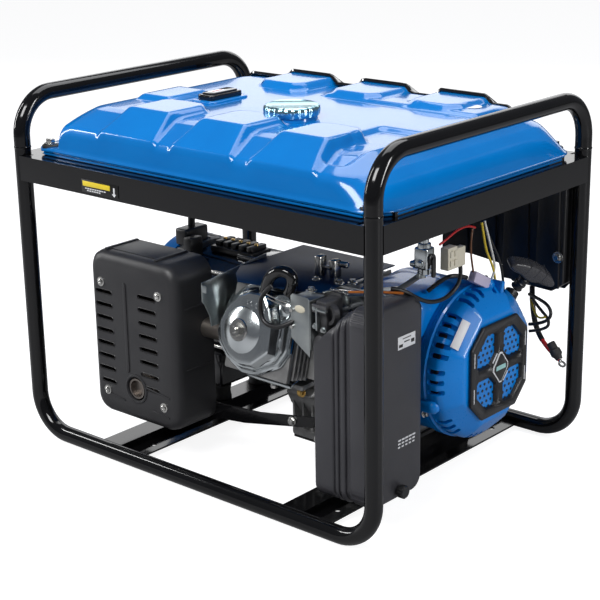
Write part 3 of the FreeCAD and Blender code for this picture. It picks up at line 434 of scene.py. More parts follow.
bm = bmesh.new()
bmesh.ops.create_grid(bm, x_segments=236, y_segments=176, size=1)
for vert in bm.verts:
    x, y, z = tank_spot(vert.co.x, vert.co.y)
    vert.co = (x, y, tank_relief(x, y, z))
rim = [edge for edge in bm.edges if edge.is_boundary]
inner_skin = [v for v in bm.verts if not v.is_boundary]
for _ in range(2):
    bmesh.ops.smooth_vert(bm, verts=inner_skin, factor=0.5, use_axis_x=True, use_axis_y=True, use_axis_z=True)
skirt = bmesh.ops.extrude_edge_only(bm, edges=rim)["geom"]
skirt_verts = [item for item in skirt if isinstance(item, bmesh.types.BMVert)]
for vert in skirt_verts:
    vert.co.z = 462.5
place_piece("tank_skin", bm, TANK_BLUE, replaces=("fuel_tank",), sharp=60)

# double lip round the tank, with its corners cut back from the posts
LIP_OUTLINE = [(338, -196), (338, 196), (309, 236), (-309, 236), (-338, 196), (-338, -196), (-309, -236),
               (309, -236)]
TANK_LOW_Z = 405
LIP_LOW = 461.2
LIP_TOP = 464
bm = bmesh.new()
add_prism(bm, LIP_OUTLINE, "z", LIP_LOW, LIP_TOP, bevel=0.7)
inset = [(x * 0.992, y * 0.99) for x, y in LIP_OUTLINE]
add_prism(bm, inset, "z", 456.0, 459.5, bevel=0.7)
add_prism(bm, [(x * 0.985, y * 0.975) for x, y in LIP_OUTLINE], "z", 455.2, 461.3, bevel=0.4)
corner_ear = rounded_outline(16, 14, 8)
for sx in (-1, 1):
    for sy in (-1, 1):
        add_prism(bm, [(sx * 304 + u, sy * 217 + v) for u, v in corner_ear], "z", LIP_LOW, LIP_TOP, bevel=0.6)
place_piece("tank_lip", bm, TANK_BLUE)
bm = bmesh.new()
add_block(bm, (-312, -226, TANK_LOW_Z), (312, 226, 456), bevel=26, segments=5)
place_piece("tank_belly", bm, TANK_BLUE, sharp=50)

# corner bolts on rubber grommets
bm_rubber = bmesh.new()
bm_bolt = bmesh.new()
for sx in (-1, 1):
    for sy in (-1, 1):
        spot = Vector((sx * 306, sy * 219, LIP_TOP))
        add_turned(bm_rubber, [(0, 0), (0, 12), (1, 13), (4, 13), (5.5, 11), (6, 7), (6, 0)], spot,
                   (0, 0, 1), 32)
        add_hex_bolt(bm_bolt, spot + Vector((0, 0, 6)), (0, 0, 1), 12, 6, washer=9.5)
place_piece("tank_grommets", bm_rubber, RUBBER)
place_piece("tank_bolts", bm_bolt, BOLT_STEEL)

# filler neck and scalloped cap
CAP_SPOT = Vector((45, -65, 0))
bm = bmesh.new()
add_turned(bm, [(518, 0), (518, 47), (522, 46), (525.5, 43), (526, 38), (533, 36.5), (534, 30), (534, 0)],
           CAP_SPOT, (0, 0, 1), 64)
place_piece("filler_collar", bm, TANK_BLUE)
bm = bmesh.new()
add_turned(bm, [(530, 0), (530, 37), (531, 39), (533.5, 40.3), (539, 41), (543.5, 40.4), (545.5, 38.3),
                (546.2, 35.5),
                (545.2, 34.2), (545.5, 0)], CAP_SPOT, (0, 0, 1), 144)
SCALLOPS = 18
for vert in bm.verts:
    off = vert.co - CAP_SPOT
    reach = math.hypot(off.x, off.y)
    if reach > 36 and 531.5 < vert.co.z < 546.1:
        wave = math.cos(SCALLOPS * math.atan2(off.y, off.x))
        pull = 1 - 0.038 * max(0.0, -wave) ** 0.7 * ease(reach, 36, 39.5)
        vert.co.x = CAP_SPOT.x + off.x * pull
        vert.co.y = CAP_SPOT.y + off.y * pull
# The cap's cyan tint is a painted reflection of the blue around it, on chrome.
place_piece("cap_shell", bm, CHROME_BLUE_REFLECTION, body="cap", replaces=("fuel_cap",), sharp=40)

# fuel gauge on its pressed seat
bm = bmesh.new()
add_prism(bm, rounded_outline(24, 43, 12, centre=(-140, -20)), "z", 521, 529, bevel=2.4)
place_piece("gauge_seat", bm, TANK_BLUE, sharp=50)
bm = bmesh.new()
add_prism(bm, rounded_outline(16, 35, 7, centre=(-140, -20)), "z", 528, 537, bevel=2.2, segments=3)
add_prism(bm, rounded_outline(11.5, 29, 5, centre=(-140, -20)), "z", 536, 539.4, bevel=1.0)
place_piece("gauge_case", bm, GLOSS_PLASTIC, replaces=("fuel_gauge",))
bm = bmesh.new()
add_prism(bm, rounded_outline(7.5, 14, 4, centre=(-140, -27)), "z", 539.2, 539.9, bevel=0.2)
place_piece("gauge_window", bm, WHITE_LABEL)
bm = bmesh.new()
add_prism(bm, rounded_outline(0.8, 10, 0.7, centre=(-139, -27)), "z", 539.9, 540.3)
place_piece("gauge_needle", bm, RED_LEAD)

# oval sticker near the far right corner
bm = bmesh.new()
made = bmesh.ops.create_circle(bm, cap_ends=True, segments=40, radius=1)["verts"]
bmesh.ops.scale(bm, vec=(20, 14, 1), verts=made)
bmesh.ops.translate(bm, vec=(214, 133, 0), verts=made)
for vert in made:
    vert.co.z = 531.0
pushed = bmesh.ops.extrude_face_region(bm, geom=bm.faces[:])["geom"]
bmesh.ops.translate(bm, vec=(0, 0, 0.5), verts=[v for v in pushed if isinstance(v, bmesh.types.BMVert)])
place_piece("oval_sticker", bm, WHITE_LABEL)

# black trim along the far side, humped over the pads
bm = bmesh.new()
TRIM_RISE = 5.5
TRIM_INNER_Y = 179
TRIM_SLOPE = 0.62


def trim_height(x):
    """Top of the trim, which follows the pads of the far side."""
    height = 531.0
    for centre in PAD_CENTRES:
        height += 12 * ease(-abs(x - centre), -54, -42)
    return height - 60 * max(0.0, (x - 250) / 76) - 60 * max(0.0, (-256 - x) / 70)


line = [bm.verts.new((x, TRIM_INNER_Y, trim_height(x))) for x in range(-320, 321, 8)]
edges = [bm.edges.new(pair) for pair in zip(line, line[1:])]
for width, fall in ((8, TRIM_SLOPE * 6), (39, TRIM_SLOPE * 39)):
    pushed = bmesh.ops.extrude_edge_only(bm, edges=edges)["geom"]
    verts = {item for item in pushed if isinstance(item, bmesh.types.BMVert)}
    bmesh.ops.translate(bm, vec=(0, width, -fall), verts=list(verts))
    edges = [edge for edge in bm.edges if set(edge.verts) <= verts]
bmesh.ops.recalc_face_normals(bm, faces=bm.faces[:])
bmesh.ops.solidify(bm, geom=bm.faces[:], thickness=TRIM_RISE)
place_piece("tank_trim", bm, GLOSS_PLASTIC, sharp=40, round_edge=1.2)

# ------------------------------------------------------------ labels on the front bar
bm = bmesh.new()
add_block(bm, (-192, -261.0, 421), (-114, -259.6, 440), bevel=0.4)
place_piece("bar_label", bm, LABEL_BLACK)
bm = bmesh.new()
add_block(bm, (-189, -261.4, 430.5), (-131, -260.8, 438), bevel=0.2)
place_piece("bar_label_band", bm, YELLOW_LABEL)
bm = bmesh.new()
for row, (left, right) in enumerate(((-184, -138), (-180, -146))):
    for step in range(int((right - left) / 5)):
        add_block(bm, (left + 5 * step, -261.4, 426.6 - 3 * row),
                  (left + 5 * step + 3.6, -260.8, 428.2 - 3 * row))
add_block(bm, (-124, -261.4, 426), (-121, -260.8, 436))
add_prism(bm, [(-127, 427), (-118, 427), (-122.5, 422.5)], "y", -261.4, -260.8)
place_piece("bar_label_marks", bm, WHITE_LABEL)

# welded seams where the handles meet the posts, and folded bar ends
bm = bmesh.new()
for sx in (-1, 1):
    for sy in (-1, 1):
        spot = Vector((sx * 337.5, sy * 247.5, 464.2))
        add_turned(bm, [(0, 11), (0, 12.6), (1.2, 13.1), (2.4, 13.1), (3.6, 12.6), (3.6, 11), (0, 11)], spot,
                   (0, 0, 1), 40)
        for level in (418.5, 453):
            add_block(bm, (sx * 324 - 4, sy * 248 - 6, level - 1.5),
                      (sx * 324 + 4, sy * 248 + 6, level + 1.5),
                             bevel=1.2)
place_piece("frame_welds", bm, BLACK_PAINT)

# ------------------------------------------------------------ muffler and its guard
GUARD_LOW, GUARD_HIGH = node_box("muffler_shield")
GUARD_MID = (GUARD_LOW + GUARD_HIGH) / 2
OUTLET = Vector((-144, GUARD_LOW.y, 112))
GUARD_WALL = 2.0
SLOT_ROWS = 8
SLOT_PITCH = 20.5


def guard_slots():
    """Centre and half length of each slot in the guard's face."""
    for row in range(SLOT_ROWS):
        last = row == SLOT_ROWS - 1
        height = 279 - SLOT_PITCH * row
        yield -203.8 if last else -206, height - 24, 15 if last else 17.5
        yield -109 if last else -113, height - 17, 15 if last else 18.5


bm = bmesh.new()
half_w = (GUARD_HIGH.x - GUARD_LOW.x) / 2
half_h = (GUARD_HIGH.z - GUARD_LOW.z) / 2
centre_x, centre_z = GUARD_MID.x, GUARD_MID.z
face_y = GUARD_LOW.y
rings = ((GUARD_HIGH.y, 0, 26), (face_y + 17, 0, 26), (face_y + 8, 1.6, 25), (face_y + 2.6, 6.2, 22),
         (face_y, 13, 18))
add_skin(bm, [[(u, depth, v) for u, v in rounded_outline(half_w - inset_by, half_h - inset_by, radius, 8,
                                                         (centre_x, centre_z))]
              for depth, inset_by, radius in rings], closed=True)
bmesh.ops.recalc_face_normals(bm, faces=bm.faces[:])
bmesh.ops.solidify(bm, geom=bm.faces[:], thickness=GUARD_WALL)
guard = place_piece("guard_shell", bm, GUARD_GREY, replaces=("muffler_shield",), sharp=48)


def cut_away(piece, cutter_bm, name):
    """Cuts a piece with a throwaway shape, and keeps only the cut mesh."""
    bmesh.ops.recalc_face_normals(cutter_bm, faces=cutter_bm.faces[:])
    bmesh.ops.scale(cutter_bm, vec=(MM, MM, MM), verts=cutter_bm.verts[:])
    mesh = bpy.data.meshes.new(name)
    cutter_bm.to_mesh(mesh)
    cutter_bm.free()
    cutter = bpy.data.objects.new(name, mesh)
    bpy.context.scene.collection.objects.link(cutter)
    cut = piece.modifiers.new("cut", "BOOLEAN")
    cut.operation = "DIFFERENCE"
    cut.solver = "EXACT"
    cut.object = cutter
    bpy.context.view_layer.update()
    graph = bpy.context.evaluated_depsgraph_get()
    result = bpy.data.meshes.new_from_object(piece.evaluated_get(graph))
    piece.modifiers.remove(cut)
    piece.data = result
    bpy.data.objects.remove(cutter)
    bpy.data.meshes.remove(mesh)


cutter = bmesh.new()
for x, z, half in guard_slots():
    add_prism(cutter, rounded_outline(half, 3.0, 2.9, 4, (x, z)), "y", face_y - 6, face_y + 6)
add_drum(cutter, OUTLET + Vector((0, -8, 0)), (0, 1, 0), 18.5, 18, 40)
cut_away(guard, cutter, "guard_cutter")

bm = bmesh.new()
for x, z, half in guard_slots():
    rings = ((1.3, 4.2, 4.1, -0.05), (0.5, 3.5, 3.4, -1.0), (-0.1, 2.9, 2.8, 1.5))
    add_skin(bm, [[(u, face_y + depth, v) for u, v in rounded_outline(half + longer, tall, radius, 4, (x, z))]
                  for longer, tall, radius, depth in rings])
place_piece("guard_slot_lips", bm, GUARD_GREY)
bm = bmesh.new()
add_prism(bm, rounded_outline(3.2, 71, 3.1, 5, (-160, 206)), "y", face_y - 1.6, face_y + 0.6, bevel=1.2)
add_turned(bm, [(0.5, 19), (-1.6, 19.6), (-2.0, 21), (-1.4, 23), (0.5, 23.6), (0.5, 19)], OUTLET, (0, 1, 0),
           48)
add_prism(bm, [(-222, 92), (-170, 86), (-170, 88.5), (-222, 94.5)], "y", face_y - 1.2, face_y + 0.5,
          bevel=0.5)
add_prism(bm, [(-122, 118), (-72, 112), (-72, 114.5), (-122, 120.5)], "y", face_y - 1.2, face_y + 0.5,
          bevel=0.5)
add_prism(bm, [(-110, 84), (-74, 80), (-74, 82.5), (-110, 86.5)], "y", face_y - 1.2, face_y + 0.5, bevel=0.5)
place_piece("guard_ribs", bm, GUARD_GREY)

# raised step along the guard's top and its edge
bm = bmesh.new()
for left, right in ((GUARD_LOW.x + 24, GUARD_LOW.x + 30), (GUARD_HIGH.x - 52, GUARD_HIGH.x - 46)):
    add_block(bm, (left, GUARD_LOW.y + 12, GUARD_HIGH.z - 1), (right, GUARD_HIGH.y - 1, GUARD_HIGH.z + 2.5),
              bevel=1.5)
add_block(bm, (GUARD_LOW.x + 30, GUARD_LOW.y + 20, GUARD_HIGH.z - 1.5), (GUARD_HIGH.x - 52, GUARD_HIGH.y - 1,
                                                                       GUARD_HIGH.z + 1.0), bevel=0.8)
for level in (250, 155):
    add_block(bm, (GUARD_HIGH.x - 1.5, GUARD_LOW.y + 22, level - 1),
              (GUARD_HIGH.x + 1.2, GUARD_HIGH.y - 2, level + 1.5),
              bevel=0.7)
place_piece("guard_steps", bm, GUARD_GREY)

bm = bmesh.new()
for x, z in ((-211, 270), (-88, 270), (-208, 96), (-85, 96)):
    add_turned(bm, [(0, 0), (0, 7.5), (-1.2, 7.2), (-1.4, 4.6), (-3.2, 4.2), (-4.2, 2.6), (-3.6, 1.8),
                    (-3.6, 0)],
               Vector((x, face_y, z)), (0, 1, 0), 28)
place_piece("guard_screws", bm, BOLT_STEEL)
bm = bmesh.new()
add_turned(bm, [(0.5, 13.2), (0.5, 15.8), (16, 15.8), (16, 13.2), (0.5, 13.2)], OUTLET, (0, 1, 0), 48)
add_drum(bm, OUTLET + Vector((0, 9, 0)), (0, 1, 0), 13.5, 1.5, 32)
place_piece("outlet_mesh_cup", bm, MUFFLER_STEEL)

# ------------------------------------------------------------ alternator
SHAFT = Vector((0, 45, 182))
bm = bmesh.new()
add_turned(bm, [(-42, 79), (-42, 84), (-44, 84.6), (-48, 84.6), (-49, 84), (-226, 84), (-227, 84.6),
                (-231, 84.6),
                (-232, 84), (-232, 79), (-42, 79)], SHAFT, (1, 0, 0), 96)
add_block(bm, (-196, -15, 48), (-160, 105, 108), bevel=6, segments=3)
add_block(bm, (-150, 15, 262), (-75, 75, 271), bevel=3)
place_piece("stator_can", bm, GLOSS_SHELL, replaces=("alternator_shell",), sharp=40)
bm = bmesh.new()
add_turned(bm, [(-232, 80), (-232, 92), (-238, 94), (-246, 92), (-262, 91), (-268, 90), (-268, 84)], SHAFT,
           (1, 0, 0), 96)
for step in range(24):
    angle = math.tau * step / 24
    turn = Matrix.Rotation(angle, 4, "X")
    add_block(bm, SHAFT + turn @ Vector((-250, 0, 93)) - Vector((15, 1.6, 2.5)),
              SHAFT + turn @ Vector((-250, 0, 93)) + Vector((15, 1.6, 2.5)), bevel=0.8, turn=turn)
place_piece("bell_casting", bm, CAST)
bm = bmesh.new()
add_turned(bm, [(-268, 88), (-268, 95.5), (-290, 95.5), (-296, 93.5), (-300, 88), (-301.5, 60), (-302, 0)],
           SHAFT,
           (1, 0, 0), 96)
cover = place_piece("end_cap_skin", bm, CASE_BLUE, replaces=("end_cover",), sharp=40)
cutter = bmesh.new()
for row in range(-3, 4):
    reach = 58 - 5 * abs(row)
    for side in (-1, 1):
        middle = SHAFT + Vector((-300, side * (reach / 2 + 6), row * 17))
        add_block(cutter, middle - Vector((12, reach / 2, 2.6)), middle + Vector((8, reach / 2, 2.6)),
                  bevel=2)
cut_away(cover, cutter, "cover_cutter")
bm = bmesh.new()
for step in range(4):
    turn = Matrix.Rotation(math.radians(45 + 90 * step), 4, "X")
    spot = SHAFT + turn @ Vector((-262, 0, 88.5))
    add_drum(bm, spot, (1, 0, 0), 3, 224, 16)
    add_hex_bolt(bm, spot, (-1, 0, 0), 10, 5, washer=8)
place_piece("long_bolts", bm, BOLT_STEEL)
bm = bmesh.new()
for step in range(6):
    turn = Matrix.Rotation(math.radians(30 + 60 * step), 4, "X")
    add_hex_bolt(bm, SHAFT + turn @ Vector((-300, 0, 82)), (-1, 0, 0), 8, 3, washer=6)
place_piece("end_cap_screws", bm, BOLT_STEEL)

# lead outlet, its clamp and terminal block on top of the alternator
bm = bmesh.new()
add_block(bm, (-262, -10, 272), (-236, 42, 300), bevel=4, segments=3)
add_block(bm, (-232, -22, 258), (-214, 6, 292), bevel=3)
place_piece("lead_outlet", bm, BLACK_PLASTIC)
bm = bmesh.new()
add_block(bm, (-210, 18, 264), (-120, 66, 274), bevel=2)
for step in range(5):
    add_block(bm, (-204 + 17 * step, 24, 273), (-192 + 17 * step, 60, 282), bevel=1.5)
place_piece("terminal_block", bm, BLACK_PLASTIC)
bm = bmesh.new()
for step in range(5):
    add_turned(bm, [(0, 0), (0, 3.6), (2, 3.2), (2.6, 0)], Vector((-198 + 17 * step, 42, 282)), (0, 0, 1), 20)
place_piece("terminal_screws", bm, BRASS)
flexible("outlet_cable", [(-249, 16, 298), (-249, 16, 335), (-235, 30, 380), (-200, 100, 404),
                          (-150, 190, 408)], 6,
         BLACK_LEAD)

# ------------------------------------------------------------ cylinder head and valve cover
TILT = math.radians(15)
CYLINDER = Vector((81, 45, 182))
CYLINDER_TURN = Matrix(((1, 0, 0, CYLINDER.x), (0, math.sin(TILT), -math.cos(TILT), CYLINDER.y),
                        (0, math.cos(TILT), math.sin(TILT), CYLINDER.z), (0, 0, 0, 1)))
bm = bmesh.new()
for step in range(7):
    add_block(bm, (-62, -60, 96 + 10 * step), (62, 60, 99 + 10 * step), bevel=1.0)
add_block(bm, (-54, -54, 85), (54, 54, 168), bevel=8, segments=3)
add_block(bm, (-60, -60, 163), (60, 60, 170), bevel=2)
bmesh.ops.transform(bm, matrix=CYLINDER_TURN, verts=bm.verts[:])
place_piece("cylinder_fins", bm, CAST)
bm = bmesh.new()
for step in range(4):
    add_block(bm, (-74, -63, 172 + 9 * step), (46, 56, 175 + 9 * step), bevel=1.0)
add_block(bm, (-64, -54, 168), (42, 50, 208), bevel=8, segments=3)
add_block(bm, (-78, -68, 204), (44, 58, 213), bevel=3)
add_block(bm, (-84, -30, 180), (-60, 20, 206), bevel=5)
bmesh.ops.transform(bm, matrix=CYLINDER_TURN, verts=bm.verts[:])
place_piece("head_casting", bm, CAST, replaces=("cylinder_head",))

COVER_RIM = [(-96, -17), (-85, 18), (-71, 40), (-55, 55), (-36, 62), (22, 62), (38, 50), (44, 32),
             (44, -24), (31, -46),
             (-10, -66), (-40, -67), (-71, -52), (-89, -35)]
COVER_TOP = [(-71, 0), (-58, 28), (-40, 44), (-22, 52), (4, 53), (16, 36), (24, 18), (26, -26), (-2, -49),
             (-26, -51),
             (-46, -44), (-64, -27)]


def grown(outline, by):
    """Outline moved outwards from its middle."""
    mid = Vector((sum(u for u, _ in outline), sum(v for _, v in outline))) / len(outline)
    return [tuple(mid + (Vector(point) - mid) * (1 + by / (Vector(point) - mid).length)) for point in outline]


def resample(outline, count):
    """Evenly spaced points on a closed outline, starting at its rightmost point."""
    loop = [Vector(point) for point in outline]
    start = max(range(len(loop)), key=lambda i: loop[i].x)
    loop = loop[start:] + loop[:start]
    lengths = [(b - a).length for a, b in zip(loop, loop[1:] + loop[:1])]
    total = sum(lengths)
    points = []
    for step in range(count):
        travel = total * step / count
        for i, length in enumerate(lengths):
            if travel <= length:
                points.append(loop[i].lerp(loop[(i + 1) % len(loop)], travel / length))
                break
            travel -= length
    return points


def add_layers(bm, layers, count=112):
    """Skin through outlines at rising heights, closed on top; corners are softened a little."""
    loops = []
    for outline, height in layers:
        points = resample(outline, count)
        points = [(points[i - 1] + points[i] * 2 + points[(i + 1) % count]) / 4 for i in range(count)]
        loops.append([bm.verts.new((point.x, point.y, height)) for point in points])
    for low, high in zip(loops, loops[1:]):
        for i in range(count):
            j = (i + 1) % count
            bm.faces.new((low[i], low[j], high[j], high[i]))
    bm.faces.new(loops[-1])


rim_ccw = list(reversed(COVER_RIM))
top_ccw = list(reversed(COVER_TOP))
bm = bmesh.new()
add_layers(bm, [(grown(rim_ccw, 0), 211), (grown(rim_ccw, 1.2), 213), (grown(rim_ccw, 1.2), 216),
                (grown(rim_ccw, -0.5), 218.5), (grown(rim_ccw, -4.0), 218.8), (grown(rim_ccw, -6.0), 220.5),
                (grown(rim_ccw, -7.0), 225), (grown(rim_ccw, -8.5), 227), (grown(rim_ccw, -12), 227.8),
                (grown(top_ccw, 5.5), 231), (grown(top_ccw, 3.0), 238), (grown(top_ccw, 0.8), 243.0),
                (grown(top_ccw, -2.0), 244.6), (grown(top_ccw, -6.0), 245)])
bmesh.ops.transform(bm, matrix=CYLINDER_TURN, verts=bm.verts[:])
place_piece("valve_cover_shell", bm, PRESSED_STEEL, replaces=("valve_cover",), sharp=24)
DOME = CYLINDER_TURN @ Matrix.Translation(Vector((-26, -3, 0)))
bm = bmesh.new()
add_turned(bm, [(243.5, 36), (245.3, 33.5), (246.5, 31.5), (249, 25), (251.8, 16), (253, 11.5), (251.6, 10),
                (251.6, 0)], None, None, 80, matrix=DOME)
place_piece("valve_cover_dome", bm, PRESSED_STEEL, sharp=55)
bm = bmesh.new()
add_turned(bm, [(251.4, 0), (251.4, 15.5), (252.4, 16.5), (254, 15.5), (254.4, 10.5), (254.4, 0)], None,
           None, 40,
           matrix=DOME)
nut = bmesh.ops.create_cone(bm, cap_ends=True, segments=6, radius1=10.4, radius2=9.8, depth=7)["verts"]
bmesh.ops.translate(bm, vec=(0, 0, 257), verts=nut)
bmesh.ops.transform(bm, matrix=DOME, verts=nut)
add_turned(bm, [(260, 0), (260, 5.4), (262.5, 5.0), (263.2, 4.0), (263.2, 0)], None, None, 24, matrix=DOME)
place_piece("valve_cover_nut", bm, BOLT_STEEL)
# pressed marks beside the dome
bm = bmesh.new()
for u, v in ((-22, 38), (-14, 37), (-5, 35), (4, 33), (11, 31)):
    add_block(bm, (u - 1.2, v - 3.2, 244.4), (u + 1.2, v + 3.2, 245.8), bevel=0.5)
bmesh.ops.transform(bm, matrix=CYLINDER_TURN, verts=bm.verts[:])
place_piece("cover_pressed_ticks", bm, PRESSED_STEEL)

# gasket line under the valve cover
bm = bmesh.new()
add_layers(bm, [(grown(rim_ccw, 0.6), 209.5), (grown(rim_ccw, 0.6), 211)])
bmesh.ops.transform(bm, matrix=CYLINDER_TURN, verts=bm.verts[:])
place_piece("cover_gasket", bm, RUBBER)

# capped adjuster, breather loop and boot, and two thin wires beside the valve cover
bm = bmesh.new()
ADJUSTER = CYLINDER_TURN @ Matrix.Translation(Vector((29, 38, 0)))
add_turned(bm, [(214, 0), (214, 21), (228, 21), (230, 19.5), (230, 16.5), (227, 16), (226, 13), (229, 9),
                (231, 0)],
           None, None, 48, matrix=ADJUSTER)
place_piece("adjuster_cap", bm, PRESSED_STEEL)
flexible("breather_loop", [(112, -190, 318), (100, -198, 306), (100, -202, 284), (108, -204, 268),
                           (126, -203, 264),
                           (142, -200, 268), (156, -188, 278)], 3.4, BLACK_PLASTIC)
flexible("breather_boot", [(76, -166, 296), (86, -172, 312), (98, -174, 328), (116, -174, 338),
                           (132, -170, 334),
                           (132, -168, 316), (122, -166, 304)], 8.5, GLOSS_PLASTIC)
flexible("throttle_wire", [(108, -196, 302), (124, -200, 300), (150, -196, 296)], 0.9, BOLT_STEEL)
flexible("spring_wire", [(108, -196, 307), (128, -200, 305), (152, -196, 301)], 0.9, BOLT_STEEL)

# ------------------------------------------------------------ sheet metal round the cylinder
bm = bmesh.new()
add_prism(bm, [(-199, 300), (-199, 271), (-194, 265), (-185, 247), (-182, 230), (-150, 229), (-60, 240),
               (-60, 313),
               (-104, 309)], "x", -17, -15, bevel=0.6)
add_block(bm, (-16, -200, 286), (-6, -196, 297), bevel=1)
place_piece("baffle_sheet", bm, ZINC, replaces=("baffle_plate",))
bm = bmesh.new()
SHROUD_EDGE = [(-15, -118), (6, -150), (34, -176), (69, -170), (130, -158), (163, -142)]
add_prism(bm, SHROUD_EDGE + [(163, 24), (-15, 24)], "z", 305.5, 307.5, bevel=0.7)
# The shroud top takes the dark navy finish: painted shade from the tank above, on blue-painted sheet.
place_piece("shroud_sheet", bm, SHROUD_SHADE_BLUE, replaces=("cylinder_shroud",))
bm = bmesh.new()
add_turned(bm, [(176, 72), (203, 71), (208, 74), (210, 73), (205, 69), (176, 70), (176, 72)], (0, 0, 0),
           (0, 0, 1), 96)
bmesh.ops.bisect_plane(bm, geom=bm.verts[:] + bm.edges[:] + bm.faces[:], dist=0.001, plane_co=(0, 12, 0),
                       plane_no=(0, -1, 0), clear_outer=True)
bmesh.ops.transform(bm, matrix=CYLINDER_TURN @ Matrix.Translation(Vector((-22, 0, 0))), verts=bm.verts[:])
place_piece("shroud_arch", bm, ZINC)
bm = bmesh.new()
add_hex_bolt(bm, (150, -150, 307.5), (0, 0, 1), 9, 5, washer=8)
add_hex_bolt(bm, (158, -98, 307.5), (0, 0, 1), 8, 5, washer=7)
add_hex_bolt(bm, (172, -86, 307.5), (0, 0, 1), 8, 5, washer=7)
add_hex_bolt(bm, (120, -104, 307.5), (0, 0, 1), 7, 3, washer=6)
add_block(bm, (104, -90, 307), (116, -74, 338), bevel=3)
add_block(bm, (126, -84, 307), (138, -68, 334), bevel=3)
add_block(bm, (108, -84, 318), (134, -78, 324), bevel=1.5)
add_turned(bm, [(0, 0), (0, 5), (22, 5), (24, 3), (24, 0)], (126, -72, 326), (1, 0.2, 0), 24)
place_piece("shroud_fittings", bm, BOLT_STEEL)
bm = bmesh.new()
add_prism(bm, [(190, -134), (212, -144), (262, -92), (256, -70), (236, -66)], "z", 309, 311.4, bevel=0.6)
add_prism(bm, [(190, -134), (212, -144), (212, -142), (191, -132)], "z", 296, 310, bevel=0.4)
linkage_bar = place_piece("linkage_bar", bm, ZINC)
cutter = bmesh.new()
add_block(cutter, (204, -112, 300), (246, -106, 320), bevel=2.5,
          turn=Matrix.Rotation(math.radians(44), 4, "Z"))
cut_away(linkage_bar, cutter, "linkage_cutter")
bm = bmesh.new()
for spot in ((200, -132, 311.4), (224, -92, 311.4), (250, -80, 311.4)):
    add_turned(bm, [(0, 0), (0, 4.4), (1.4, 4), (2.4, 2.6), (2.6, 0)], spot, (0, 0, 1), 24)
coil = [(186 + 1.1 * step, -150 + 3.4 * math.cos(step * 1.6),
         318 + 3.4 * math.sin(step * 1.6)) for step in range(30)]
place_piece("linkage_screws", bm, BOLT_STEEL)
flexible("governor_spring", coil, 0.7, BOLT_STEEL)
flexible("governor_rod", [(178, -158, 314), (196, -156, 320), (214, -150, 322), (236, -136, 320)], 1.2,
         BOLT_STEEL)
bm = bmesh.new()
add_prism(bm, [(149, 252), (149, 313), (153, 316), (180, 314.5), (183, 311), (183, 229)], "y", -193, -190,
          bevel=0.7)
add_block(bm, (149, -191, 308), (183, -160, 311), bevel=0.8)
add_block(bm, (181, -192, 240), (184, -177, 306), bevel=0.8)
place_piece("bracket_sheet", bm, ZINC, replaces=("control_bracket",))
bm = bmesh.new()
oval = bmesh.ops.create_uvsphere(bm, u_segments=24, v_segments=10, radius=1)["verts"]
bmesh.ops.scale(bm, vec=(9.5, 1.4, 5.5), verts=oval)
bmesh.ops.translate(bm, vec=(166, -193, 296), verts=oval)
place_piece("bracket_oval", bm, CREAM)
bm = bmesh.new()
for spot in ((151, -193, 292), (151, -193, 268)):
    add_turned(bm, [(0, 0), (0, 3.2), (-2, 2.8), (-2.6, 0)], spot, (0, 1, 0), 20)
place_piece("bracket_rivets", bm, BOLT_STEEL)

# ------------------------------------------------------------ carburettor and its linkage
bm = bmesh.new()
add_block(bm, (188, -186, 268), (208, -150, 312), bevel=3)
add_turned(bm, [(0, 0), (0, 19), (6, 20), (16, 17), (20, 12), (20, 0)], (196, -168, 244), (0, -1, 0), 40)
add_turned(bm, [(0, 9), (0, 14), (9, 14), (9, 9), (0, 9)], (210, -172, 292), (-0.3, -1, 0.1), 32)
add_block(bm, (186, -192, 296), (212, -188, 308), bevel=1)
add_block(bm, (156, -165, 232), (211, -130, 285), bevel=4, segments=3)
add_turned(bm, [(0, 0), (0, 15), (20, 15), (24, 10), (24, 0)], (186, -148, 232), (0, 0, -1), 36)
place_piece("carburettor_body", bm, DARK_CAST, replaces=("carburettor",))
bm = bmesh.new()
add_block(bm, (196, -196, 272), (199, -188, 304), bevel=1)
add_block(bm, (199, -196, 300), (214, -190, 303), bevel=1)
for spot in ((190, -188, 302), (206, -190, 274), (190, -188, 276)):
    add_hex_bolt(bm, spot, (0, -1, 0), 6, 3, washer=4.5)
add_block(bm, (196, -120, 285), (260, -112, 313), bevel=2)
add_block(bm, (225, -121, 290), (244, -119, 306), bevel=1)
place_piece("linkage_metal", bm, ZINC)
flexible("orange_choke_wire", [(218, -150, 320), (250, -152, 327), (280, -150, 332), (300, -136, 331)], 1.8,
         ORANGE_LEAD)

# ------------------------------------------------------------ lower casting, drain plug and side bolts
bm = bmesh.new()
add_prism(bm, [(-104, 146), (-60, 150), (-38, 150), (-38, 60), (-70, 66), (-96, 100), (-110, 124)], "x", 60,
          150,
          bevel=7, segments=3)
add_prism(bm, [(-122, 132), (-96, 146), (-60, 150), (-60, 128), (-100, 120)], "x", 92, 120, bevel=5,
          segments=3)
add_block(bm, (60, -96, 52), (150, -30, 66), bevel=5, segments=3)
for along in (72, 90, 108, 126, 142):
    add_block(bm, (along - 2, -104, 70), (along + 2, -34, 150), bevel=1.6)
add_turned(bm, [(0, 0), (0, 13), (26, 11), (30, 8), (30, 0)], (136, -92, 84), (0.2, -1, 0.1), 32)
place_piece("lower_casting", bm, CAST, sharp=42)
bm = bmesh.new()
add_hex_bolt(bm, (107, -124, 139), (0, -1, 0.1), 9, 5, washer=7.5)
place_piece("drain_plug", bm, BRASS)
bm = bmesh.new()
add_prism(bm, [(-142, 149), (-142, 157), (-92, 160), (-92, 152)], "x", 20, 124, bevel=2)
place_piece("barrel_foot", bm, CAST)
bm = bmesh.new()
add_prism(bm, [(-156, 154), (-156, 159), (-118, 168), (-118, 163)], "x", 26, 112, bevel=1.4)
place_piece("head_lower_ledge", bm, PRESSED_STEEL)
bm = bmesh.new()
add_hex_bolt(bm, (68, -140, 150), (0, -0.2, -1), 9, 7, washer=8)
